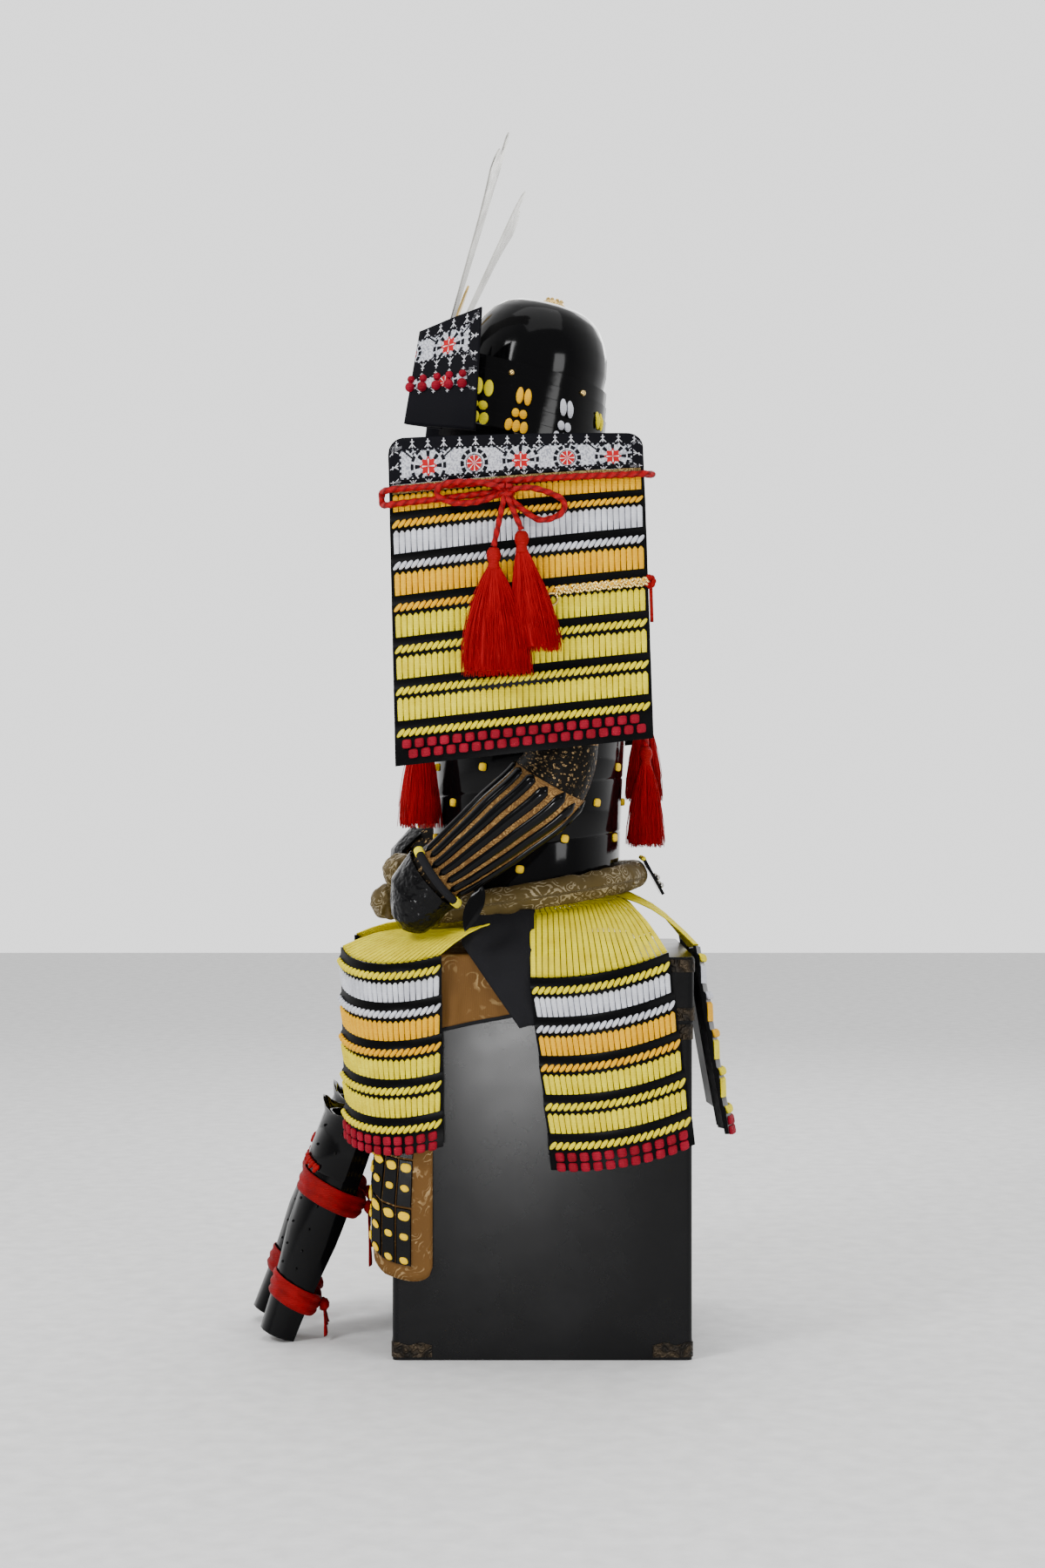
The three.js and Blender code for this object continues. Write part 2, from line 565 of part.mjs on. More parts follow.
// Front tassel on a cord from the shoulder strap, and the great bow at the back with its two tassels
function makeBodyCords() {
  const top = point(92, -158, 818);
  const line = [point(92, -134, 1012), point(92, -140, 960), point(92, -147, 890), point(92, -157, 838), point(92, -158, 806)];
  const cord = rope(line, CORD_RADIUS, 8);
  add("chest_tassel", join([cord, tassel(top, 154, 27, 1)]), RED_SILK);

  const y = 125.2;
  const bow = [
    rope([point(0, y - 8.6, 1050), point(0, y - 2.5, 1000), point(0, y, 935)], CORD_RADIUS + 1, 4),
    ...[-1, 1].map((side) =>
      rope([point(0, y, 934), point(side * 30, y + 2, 962), point(side * 62, y + 4, 946), point(side * 60, y + 4, 916),
        point(side * 28, y + 2, 914), point(0, y, 930)], CORD_RADIUS, 8)),
    rope([point(0, y + 4, 930), point(14, y + 8, 880), point(28, y + 12, 800), point(28, y + 13, 776)], CORD_RADIUS, 6),
    rope([point(0, y + 4, 930), point(-14, y + 8, 890), point(-28, y + 12, 850), point(-28, y + 13, 836)], CORD_RADIUS, 5),
    ellipsoid([0, y + 2, 930], [18, 9, 17], 8, 6),
  ];
  add("back_bow", join(bow), RED_SILK);
  add("back_tassel_left", tassel(point(28, y + 13, 776 - GAP), 138, 24, 1), RED_SILK);
  add("back_tassel_right", tassel(point(-28, y + 13, 836 - GAP), 138, 24, 1), RED_SILK);
}

// Thigh guards: brocade that crosses the lid and laced panels that hang round the box's front corners

function makeThighGuards() {
  const edge = LID.halfWidth + GAP + CLOTH / 2;
  const top = LID.top + GAP + CLOTH / 2;
  const half = [[edge + 5, -92], [edge + 3, -60], [edge + 1.5, -25], [edge + 1, -2], [edge - 2, 1.6], [150, 0.4], [60, 1]];
  const line = [...half, ...half.map(([x, z]) => [-x, z]).reverse()];
  const place = (u, x, z) => {
    const drop = Math.min(1, Math.max(0, -z / 92));
    const wave = drop * 4 * (1 + Math.sin(9 * u)) * Math.sign(x);
    const length = 1 - 0.26 * u * drop;
    const y = lerp(-134, -56, u) + 35 * smoothstep(Math.abs(x), 120, 206) * smoothstep(u, 0, 1) + 4 * drop;
    return point(x + wave, y, top + z * length);
  };
  const profile = thicken(line, CLOTH);
  add("thigh_apron", sweep(profile, steps(0, 1, 6), place), BROCADE);

  const panel = [[22, -196], [70, -197], [120, -198], [160, -197.5], [188, -197], [202, -193.5], [208.5, -183], [209, -160],
    [209, -138]];
  const spine = panel.map(([x, y]) => new THREE.Vector2(x, y));
  const count = spine.length - 1;
  const hang = (i, v, h) => {
    const a = spine[Math.max(i - 1, 0)];
    const b = spine[Math.min(i + 1, count)];
    const along = b.clone().sub(a).normalize();
    const turn = smoothstep(i, 2, count);
    const foot = lerp(150, 97, turn) + (i === 0 || i === count ? 16 : 0);
    const belly = 15 * smoothstep(v, 0.35, 0.8) * smoothstep(i, 2, 4) * (1 - smoothstep(i, 6, 8));
    return point(spine[i].x + along.y * -h, spine[i].y + along.x * h - belly, lerp(505, foot, v));
  };
  const cloth = [[1, -1.5], [0.5, -1.3], [0, -1.5], [0, 1.5], [0.5, 2], [1, 1.5]];
  addPair("thigh_panel_left", sweep(cloth, steps(0, count, count), hang), BROCADE);
}

// Shin guards stand in front of the box and lean back on the thigh panels

// Half sizes of a shin guard; down is the distance below its top
const SHIN = [
  { down: -40, across: 50, deep: 40 },
  { down: 0, across: 50, deep: 40 },
  { down: 80, across: 51, deep: 43 },
  { down: 160, across: 46, deep: 41 },
  { down: 230, across: 37, deep: 32 },
  { down: 300, across: 34, deep: 28 },
];
const SHIN_TOP = { x: 71, z: 288 };

function makeShinGuard(topY, footY, length, adder) {
  const top = point(SHIN_TOP.x, topY, SHIN_TOP.z);
  const along = point(-6, footY, 2).sub(point(0, topY, SHIN_TOP.z)).normalize();
  const front = along.clone().cross(point(1, 0, 0)).normalize();
  const side = front.clone().cross(along).normalize();
  const shin = (angle, down, out) => {
    const deep = read(SHIN, "down", "deep", down) + out;
    const across = read(SHIN, "down", "across", down) + out;
    return top
      .clone()
      .addScaledVector(along, down)
      .addScaledVector(front, deep * Math.cos(angle))
      .addScaledVector(side, across * Math.sin(angle));
  };
  const outer = [0, 60, 110, 160, 200, 240, length].map((down) => [down, 0]);
  const inner = outer.map(([down]) => [down, -LACQUER]).reverse();
  adder("shin_guard_left", sweep([...outer, ...inner], steps(rad(-136), rad(136), 11), shin), BLACK_LACQUER);

  // The knee plate flares above the shin plate and its edge rises to points
  const knee = (angle, v, out) => {
    const peak = 6 * Math.cos(3.2 * angle) + 4 * (Math.abs(angle) > 1.5);
    return shin(angle, v < 0 ? v - peak : v, GAP + out);
  };
  const flare = [[76, 1], [40, 1], [5, 2], [-9, 11], [-9, 14], [4, 5], [40, 4], [72, 4]];
  adder("knee_plate_left", sweep(flare, steps(rad(-104), rad(104), 12), knee), BLACK_LACQUER);

  // Cloth ties go right round and hang in two ends behind
  const tie = (name, down, slant, fall) => {
    const place = (angle, v, h) => shin(angle, down + v - slant * Math.cos(angle), GAP + 1.6 + h);
    const band = sweep([[0, 0], [30, 0], [27, 3], [3, 3]], steps(0, 2 * Math.PI, 13).slice(1), place, true);
    const ends = [-1, 1].map((hand) => {
      const place = (t, across, h) => {
        const root = shin(Math.PI - 0.25 * hand, down + 12 + slant, GAP + 2.4);
        const y = root.y + h + 3 * t;
        return point(root.x + across + 6 * hand * t, y, root.z - (hand > 0 ? fall : 0.7 * fall) * t);
      };
      return sweep([[-7, 0], [7, 0], [7, 2.2], [-7, 2.2]], [0, 0.4, 1], place);
    });
    adder(name, join([band, ...ends]), RED_SILK);
  };
  tie("knee_tie_left", 86, 6, 72);
  tie("ankle_tie_left", 226, 6, 36);
}

function makeShinGuards() {
  makeShinGuard(-239.8, -344, 298.7, (name, geometry, material) => add(name, geometry, material));
  makeShinGuard(-239, -368, 306.4, (name, geometry, material) => {
    add(name.replace("left", "right"), geometry, material).scale.x = -1;
  });
}

// Helmet, in its own frame: front at -Y, bowl rim near z = 0

// Bowl profile: height above the rim plane against the share of the half sizes
const BOWL = [
  { z: 8, share: 1 },
  { z: 32, share: 1 },
  { z: 54, share: 0.955 },
  { z: 73, share: 0.87 },
  { z: 89, share: 0.76 },
  { z: 100, share: 0.63 },
  { z: 106, share: 0.48 },
  { z: 106.5, share: 0.36 },
  { z: 104, share: 0.24 },
];

function bowlPoint(angle, share, z, out = 0) {
  const x = (HELMET.halfWidth * share + out) * Math.sin(angle);
  return point(x, -(HELMET.halfLength * share + out) * Math.cos(angle), z);
}

function makeBowl(group) {
  const crown = BOWL[BOWL.length - 1];
  const outer = BOWL.map((row) => new THREE.Vector2(row.share, row.z));
  const inner = BOWL.filter((row, i) => i % 2 === 0).map((row) => {
    return new THREE.Vector2(row.share * 0.965, row.z - (row.z > 40 ? LACQUER : 0));
  });
  const outline = [...inner, new THREE.Vector2(0, crown.z - LACQUER)].reverse();
  const profile = [...outline, ...outer, new THREE.Vector2(0, crown.z)];
  const bowl = new THREE.LatheGeometry(profile, 24).rotateX(Math.PI / 2);
  bowl.scale(HELMET.halfWidth, HELMET.halfLength, 1);
  add("helmet_bowl", bowl, BLACK_LACQUER, group);
  const ring = [[8, 0], [19, 0], [17, 5], [14, 8], [12, 12], [9, 12]].map(([r, z]) => new THREE.Vector2(r, z));
  const crownRing = new THREE.LatheGeometry([...ring, ring[0]], 12).rotateX(Math.PI / 2);
  add("crown_ring", crownRing.translate(0, 4, crown.z + GAP), GOLD, group);

  const peak = thicken([[0, 12], [13, 10], [26, 4], [38, -6]], LACQUER);
  const place = (angle, out, z) => {
    const reach = out * (1 - (Math.abs(angle) / rad(62)) ** 3);
    return bowlPoint(angle, 1, z - 6 * (angle / rad(50)) ** 2 * (out / 38), GAP + 1 + reach);
  };
  add("helmet_peak", sweep(peak, steps(rad(-47), rad(47), 10), place), PRINTED_LEATHER, group);
}

// Neck guard wall: u from -1 to 1 round the back, its ends running forward to the turnbacks
function neckPoint(u, z, out) {
  const around = Math.min(1, Math.abs(u) / 0.7) * rad(96) * Math.sign(u);
  const forward = Math.max(0, Math.abs(u) - 0.7) / 0.3;
  const y = (HELMET.halfLength + out) * Math.cos(around) - 106 * forward;
  return point((HELMET.halfWidth + out) * Math.sin(around) - 5 * forward * Math.sign(u), y, z);
}

const NECK = { top: 12, bottom: -80, lames: 5, flare: 21 };

function makeNeckGuard(group) {
  const depth = (NECK.top - NECK.bottom) / NECK.lames;
  const outer = [];
  for (let i = 0; i < NECK.lames; i++) {
    const high = NECK.top - i * depth;
    const out = GAP + 1 + (i / NECK.lames) * NECK.flare;
    outer.push([high, out + 4], [high - depth + 0.8, out + 4 + NECK.flare / NECK.lames - 1.6]);
  }
  const inner = [[NECK.bottom, GAP + 1 + NECK.flare], [-34, GAP + 10.5], [NECK.top, GAP + 1]];
  const stations = [-1, -0.85, ...steps(-0.7, 0.7, 12), 0.85, 1];
  add("neck_guard", sweep([...outer, ...inner], stations, neckPoint), BLACK_LACQUER, group);

  // A turnback: its front edge folds round the neck guard's end, its free edge stands out behind
  const corners = { frontTop: [-144, 20], rearTop: [-72, 65], frontLow: [-131, -104], rearLow: [-40, -94] };
  const fold = [
    { x: 88.8, spread: 33, share: 0.5 },
    { x: 90.8, spread: 33, share: 0.06 },
    { x: 96, spread: 28, share: 0 },
    { x: 103, spread: 20, share: 0.04 },
    { x: 112, spread: 16, share: 0.3 },
    { x: 122, spread: 16, share: 0.65 },
    { x: 128, spread: 16, share: 1 },
  ];
  const place = (i, v, h) => {
    const row = fold[i];
    const top = corners.frontTop.map((c, k) => lerp(c, corners.rearTop[k], row.share));
    const low = corners.frontLow.map((c, k) => lerp(c, corners.rearLow[k], row.share));
    const [y, z] = top.map((c, k) => lerp(c, low[k], v));
    const next = fold[Math.min(i + 1, fold.length - 1)];
    const last = fold[Math.max(i - 1, 0)];
    const along = new THREE.Vector2(next.x - last.x, (next.share - last.share) * 75).normalize();
    return point(row.x + row.spread * v + along.y * h, y - along.x * h, z);
  };
  const wall = [[0, 0], [1, 0], [1, 4], [0.5, 4.5], [0, 4]];
  addPair("turnback_left", sweep(wall, steps(0, 6, 6), place), PRINTED_LEATHER, group);
}

// Crest: a socket plate with a centre blade, and two hoe-shaped horns
function makeCrest(group) {
  const crest = new THREE.Group();
  crest.position.set(0, -123.8, 7);
  crest.rotation.x = rad(-6.7);
  group.add(crest);
  const plate = (shape, thickness, y, segments = 8) => {
    const options = { depth: thickness, bevelEnabled: false, curveSegments: segments };
    return new THREE.ExtrudeGeometry(shape, options).rotateX(Math.PI / 2).translate(0, y + thickness, 0);
  };
  const base = new THREE.Shape();
  base.moveTo(-58, 6);
  base.quadraticCurveTo(-30, 0, 0, -1);
  base.quadraticCurveTo(30, 0, 58, 6);
  base.quadraticCurveTo(54, 26, 30, 30);
  base.quadraticCurveTo(14, 30, 8, 44);
  base.lineTo(5, 92);
  base.lineTo(0, 104);
  base.lineTo(-5, 92);
  base.lineTo(-8, 44);
  base.quadraticCurveTo(-14, 30, -30, 30);
  base.quadraticCurveTo(-54, 26, -58, 6);
  add("crest_socket", plate(base, 3, -3.4, 4), GOLD, crest);
  const horn = new THREE.Shape();
  horn.moveTo(26, 10);
  horn.lineTo(44, 10);
  horn.bezierCurveTo(62, 50, 92, 90, 122, 140);
  horn.bezierCurveTo(142, 176, 168, 202, 192, 222);
  horn.quadraticCurveTo(196, 248, 176, 254);
  horn.quadraticCurveTo(160, 242, 156, 258);
  horn.quadraticCurveTo(168, 270, 160, 280);
  horn.quadraticCurveTo(134, 268, 118, 234);
  horn.bezierCurveTo(96, 182, 70, 124, 50, 80);
  horn.quadraticCurveTo(34, 44, 26, 10);
  addPair("crest_horn_left", plate(horn, 2, GAP, 7), SILVER, crest);
}

function makeHelmet() {
  const helmet = new THREE.Group();
  helmet.position.set(0, HELMET.y, HELMET.z);
  helmet.rotation.set(rad(-HELMET.tilt), 0, rad(-HELMET.yaw));
  part.add(helmet);
  makeBowl(helmet);
  makeNeckGuard(helmet);
  makeCrest(helmet);
}

makeBox();
makeStand();
makeCuirass();
makeRoll();
makeWaistHolder();
makeTassets();
makeArms();
makeGuards();
makeGuardCords();
makeBodyCords();
makeThighGuards();
makeShinGuards();
makeHelmet();

export default part;
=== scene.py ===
import random
from functools import partialmethod
from math import atan2, copysign, cos, degrees, exp, hypot, pi, sin, sqrt
from math import radians as rad

import bpy
from mathutils import Euler, Matrix, Vector, noise


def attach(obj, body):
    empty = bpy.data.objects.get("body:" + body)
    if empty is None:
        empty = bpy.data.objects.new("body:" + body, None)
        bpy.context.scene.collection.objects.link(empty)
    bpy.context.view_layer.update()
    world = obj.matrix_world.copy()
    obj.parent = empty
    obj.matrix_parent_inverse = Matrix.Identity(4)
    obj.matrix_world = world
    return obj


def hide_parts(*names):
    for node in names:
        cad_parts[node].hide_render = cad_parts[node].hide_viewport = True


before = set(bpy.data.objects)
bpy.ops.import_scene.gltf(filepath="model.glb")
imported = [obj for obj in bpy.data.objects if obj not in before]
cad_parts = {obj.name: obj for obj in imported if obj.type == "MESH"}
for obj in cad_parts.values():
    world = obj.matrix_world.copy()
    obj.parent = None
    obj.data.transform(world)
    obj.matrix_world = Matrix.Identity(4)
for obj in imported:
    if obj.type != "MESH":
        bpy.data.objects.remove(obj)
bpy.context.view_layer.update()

# The armour faces -Y and its left arm is at +X. Shapes are worked out in millimetres and stored in metres.
MM = 0.001
GAP = 0.4
CLOTH = 2.4
WAIST = {"z": 582, "y": -21, "slope": 0.168}
ROLL_RADIUS = 19.5
PANEL_PITCH = 48.3
HELMET = {"y": -14, "z": 1258, "tilt": 14, "yaw": 4, "half_width": 90, "half_length": 96}
LID_TOP = 508
LID_HALF_WIDTH = 205

# Camera

camera_data = bpy.data.cameras.new("camera")
camera_data.lens = 61.92
camera_data.sensor_width = 36
camera = bpy.data.objects.new("camera", camera_data)
camera.location = (3.6, -0.025, 0.726)
camera.rotation_euler = Euler((pi / 2, 0, pi / 2))
bpy.context.collection.objects.link(camera)
bpy.context.scene.camera = camera


# Small tools


def lerp(a, b, t):
    return a + (b - a) * t


def clamp(x, low=0.0, high=1.0):
    return max(low, min(high, x))


def ease(x, low, high):
    t = clamp((x - low) / (high - low))
    return t * t * (3 - 2 * t)


def steps(low, high, count):
    return [lerp(low, high, i / count) for i in range(count + 1)]


def circle(count):
    """The angles of a full turn in equal steps."""
    return steps(0, 2 * pi, count)[:-1]


def distances(points):
    """How far each point lies from the first, along the line."""
    total = [0.0]
    for a, b in zip(points, points[1:]):
        total.append(total[-1] + (Vector(b) - Vector(a)).length)
    return total


def dim(share, colour):
    return tuple(share * c for c in colour)


def read(rows, column, at):
    """The value of one column of a table, whose first column is its key, on straight lines between rows."""
    i = 0
    while i < len(rows) - 2 and at > rows[i + 1][0]:
        i += 1
    a, b = rows[i], rows[i + 1]
    return lerp(a[column], b[column], clamp((at - a[0]) / (b[0] - a[0])))


def ripple(x, y, z, size, seed=0.0):
    """Smooth noise from -1 to 1 with features of the given size."""
    return noise.noise(Vector((x / size + seed, y / size, z / size)))


# Materials


class Nodes:
    """Short calls for a material's node tree."""

    def __init__(self, name):
        self.material = bpy.data.materials.new(name)
        self.material.use_nodes = True
        self.tree = self.material.node_tree
        self.tree.nodes.clear()
        output = self.tree.nodes.new("ShaderNodeOutputMaterial")
        self.shader = self.tree.nodes.new("ShaderNodeBsdfPrincipled")
        self.tree.links.new(self.shader.outputs[0], output.inputs[0])

    def put(self, socket, value):
        if isinstance(value, bpy.types.NodeSocket):
            self.tree.links.new(value, socket)
        else:
            socket.default_value = (*value, 1) if socket.type == "RGBA" else value

    def make(self, kind, output, inputs, **fields):
        """A new node with its fields and inputs; gives one of its outputs."""
        node = self.tree.nodes.new("ShaderNode" + kind)
        for key, value in fields.items():
            setattr(node, key, value)
        for key, value in inputs.items():
            self.put(node.inputs[key], value)
        return node.outputs[output]

    def set(self, **values):
        for key, value in values.items():
            self.put(self.shader.inputs[key.replace("_", " ")], value)

    def maths(self, operation, *values):
        return self.make("Math", 0, dict(enumerate(values)), operation=operation)

    plus = partialmethod(maths, "ADD")
    minus = partialmethod(maths, "SUBTRACT")
    times = partialmethod(maths, "MULTIPLY")
    over = partialmethod(maths, "GREATER_THAN")
    under = partialmethod(maths, "LESS_THAN")
    fract = partialmethod(maths, "FRACT")
    sine = partialmethod(maths, "SINE")
    cosine = partialmethod(maths, "COSINE")
    absolute = partialmethod(maths, "ABSOLUTE")

    def coordinates(self, kind="Object", turn=0.0):
        source = self.make("TexCoord", kind, {})
        return self.make("Mapping", 0, {"Vector": source, "Rotation": (0, 0, turn)})

    def split(self, vector):
        node = self.tree.nodes.new("ShaderNodeSeparateXYZ")
        self.put(node.inputs[0], vector)
        return node.outputs

    def noise(self, vector, scale, detail=3.0, roughness=0.5):
        inputs = {"Vector": vector, "Scale": scale, "Detail": detail, "Roughness": roughness}
        return self.make("TexNoise", "Fac", inputs)

    def cells(self, vector, scale, feature="F1"):
        return self.make("TexVoronoi", "Distance", {"Vector": vector, "Scale": scale}, feature=feature)

    def wave(self, vector, scale, distortion, direction):
        inputs = {"Vector": vector, "Scale": scale, "Distortion": distortion}
        return self.make("TexWave", "Fac", inputs, bands_direction=direction)

    def ramp(self, value, stops):
        """Greys at two places."""
        node = self.tree.nodes.new("ShaderNodeValToRGB")
        self.put(node.inputs[0], value)
        for element, (place, grey) in zip(node.color_ramp.elements, stops):
            element.position = place
            element.color = (grey, grey, grey, 1)
        return node.outputs[0]

    def mix(self, share, a, b):
        return self.make("Mix", 2, {0: share, 6: a, 7: b}, data_type="RGBA")

    def bump(self, height, distance):
        inputs = {"Height": height, "Distance": distance, "Strength": 1.0}
        self.put(self.shader.inputs["Normal"], self.make("Bump", 0, inputs))

    def between(self, value, low, high):
        return self.times(self.over(value, low), self.under(value, high))


def lacquer(name, colour=(0.002, 0.002, 0.0023), rough=0.1, dust=0.1, peel=0.0001, bend=1.22):
    n = Nodes(name)
    where = n.coordinates()
    marks = n.noise(where, 9, 5, 0.6)
    n.set(Base_Color=n.mix(n.ramp(marks, [(0.45, 0.0), (0.75, dust)]), colour, (0.014, 0.014, 0.015)))
    n.set(Roughness=n.ramp(n.noise(where, 26, 4), [(0.3, rough * 0.94), (0.7, rough * 1.1)]))
    n.set(IOR=bend)
    n.bump(n.noise(where, 60, 2), peel)
    return n.material


def silk(name, colour, shade=None, pitch=0.0016, rough=0.6):
    """Braided silk: a fine slanted weave over a slightly uneven colour, with painted shade in the weave's grooves.
    """
    n = Nodes(name)
    where = n.coordinates()
    shade = shade or dim(0.55, colour)
    uneven = n.noise(where, 45, 4, 0.6)
    weave = n.wave(n.coordinates(turn=0.7), 1 / pitch / 6.3, 0.6, "Z")
    worn = n.mix(n.ramp(uneven, [(0.3, 0.0), (0.75, 1.0)]), shade, colour)
    # Painted shade: where the weave's bump is low, the colour is mixed towards the darker shade colour.
    n.set(Base_Color=n.mix(n.ramp(weave, [(0.0, 0.25), (0.6, 0.0)]), worn, shade))
    n.set(Roughness=rough, IOR=1.2)
    n.bump(n.plus(weave, n.times(uneven, 0.6)), 0.0003)
    return n.material


def twisted_silk(name, colour, turns=2, pitch=0.013):
    """Twisted silk cord: strands wind along the map's second direction, in metres; the grooves between the strands
    get painted shade.
    """
    n = Nodes(name)
    around, along, _ = n.split(n.coordinates("UV"))
    phase = n.plus(n.times(around, turns), n.times(along, 1 / pitch))
    strand = n.sine(n.times(phase, 2 * pi))
    fibre = n.sine(n.times(phase, 12 * pi))
    height = n.plus(strand, n.times(fibre, 0.18))
    # Painted shade: the grooves between the strands, where the bump is low, are darkened to 0.38 of the colour.
    dark = dim(0.38, colour)
    uneven = n.noise(n.coordinates(), 60, 3)
    n.set(Base_Color=n.mix(n.ramp(n.maths("MULTIPLY_ADD", strand, 0.5, 0.5), [(0.0, 0.0), (0.5, 1.0)]), dark,
                           n.mix(uneven, dim(0.75, colour), colour)))
    n.set(Roughness=0.45, IOR=1.25)
    n.bump(height, 0.0009)
    return n.material


def metal(name, colour, rough=0.3, wear=0.3):
    n = Nodes(name)
    where = n.coordinates()
    marks = n.noise(where, 30, 5, 0.65)
    n.set(Base_Color=n.mix(n.ramp(marks, [(0.35, 0.0), (0.8, wear)]), colour, dim(0.45, colour)))
    n.set(Metallic=1.0, Roughness=n.ramp(marks, [(0.3, rough * 0.8), (0.8, rough * 1.5)]))
    n.bump(n.noise(where, 120, 3), 0.0002)
    return n.material


def brocade(name, ground, thread, size=0.03, share=0.5, bare=0.0):
    """Woven brocade with a small scrolling gold figure and painted shade in the grooves of its fine ribs; the map
    is in metres. bare leaves that share plain.
    """
    n = Nodes(name)
    flat = n.coordinates("UV")
    x, y, _ = n.split(flat)
    warp = n.noise(flat, 0.9 / size, 3)
    petals = n.cells(flat, 1 / size, "SMOOTH_F1")
    scroll = n.sine(n.plus(n.times(petals, 34), n.times(warp, 16)))
    veins = n.sine(n.times(n.plus(x, y), 2 * pi / size * 1.5))
    figure = n.plus(scroll, n.times(veins, 0.35))
    mask = n.ramp(figure, [(share - 0.08, 0.0), (share + 0.08, 1.0)])
    patches = n.ramp(n.noise(flat, 0.42 / size, 3, 0.6), [(0.34 + 0.3 * bare, 0.0), (0.42 + 0.3 * bare, 1.0)])
    mask = n.times(mask, patches) if bare else mask
    ribs = n.sine(n.times(y, 2 * pi / 0.0012))
    worn = n.ramp(n.noise(n.coordinates(), 22, 5, 0.65), [(0.3, 0.35), (0.7, 1.0)])
    tone = n.mix(n.times(mask, worn), ground, thread)
    faded = n.ramp(n.noise(n.coordinates(), 9, 4, 0.6), [(0.35, 0.0), (0.7, 0.35)])
    tone = n.mix(faded, tone, dim(0.5, ground))
    # Painted shade: the low halves of the fine ribs are darkened towards 0.4 of the ground colour.
    n.set(Base_Color=n.mix(n.ramp(ribs, [(0.0, 0.22), (0.6, 0.0)]), tone, dim(0.4, ground)))
    n.set(Roughness=n.mix(mask, (0.7, 0.7, 0.7), (0.4, 0.4, 0.4)), Metallic=n.times(mask, 0.3))
    n.set(IOR=1.25)
    n.bump(n.plus(mask, n.times(ribs, 0.2)), 0.0003)
    return n.material


def mail(name):
    """Small worn rings on a near black ground; the map is in metres."""
    n = Nodes(name)
    flat = n.coordinates("UV")
    away = n.cells(flat, 1 / 0.0052)
    ring = n.ramp(n.absolute(n.minus(away, 0.26)), [(0.06, 1.0), (0.18, 0.0)])
    worn = n.ramp(n.noise(n.coordinates(), 170, 3, 0.6), [(0.46, 0.03), (0.6, 1.0)])
    n.set(Base_Color=n.mix(n.times(ring, worn), (0.006, 0.005, 0.004), (0.40, 0.26, 0.12)))
    n.set(Metallic=n.times(n.times(ring, worn), 0.8), Roughness=0.4, IOR=1.15)
    n.bump(ring, 0.0022)
    return n.material


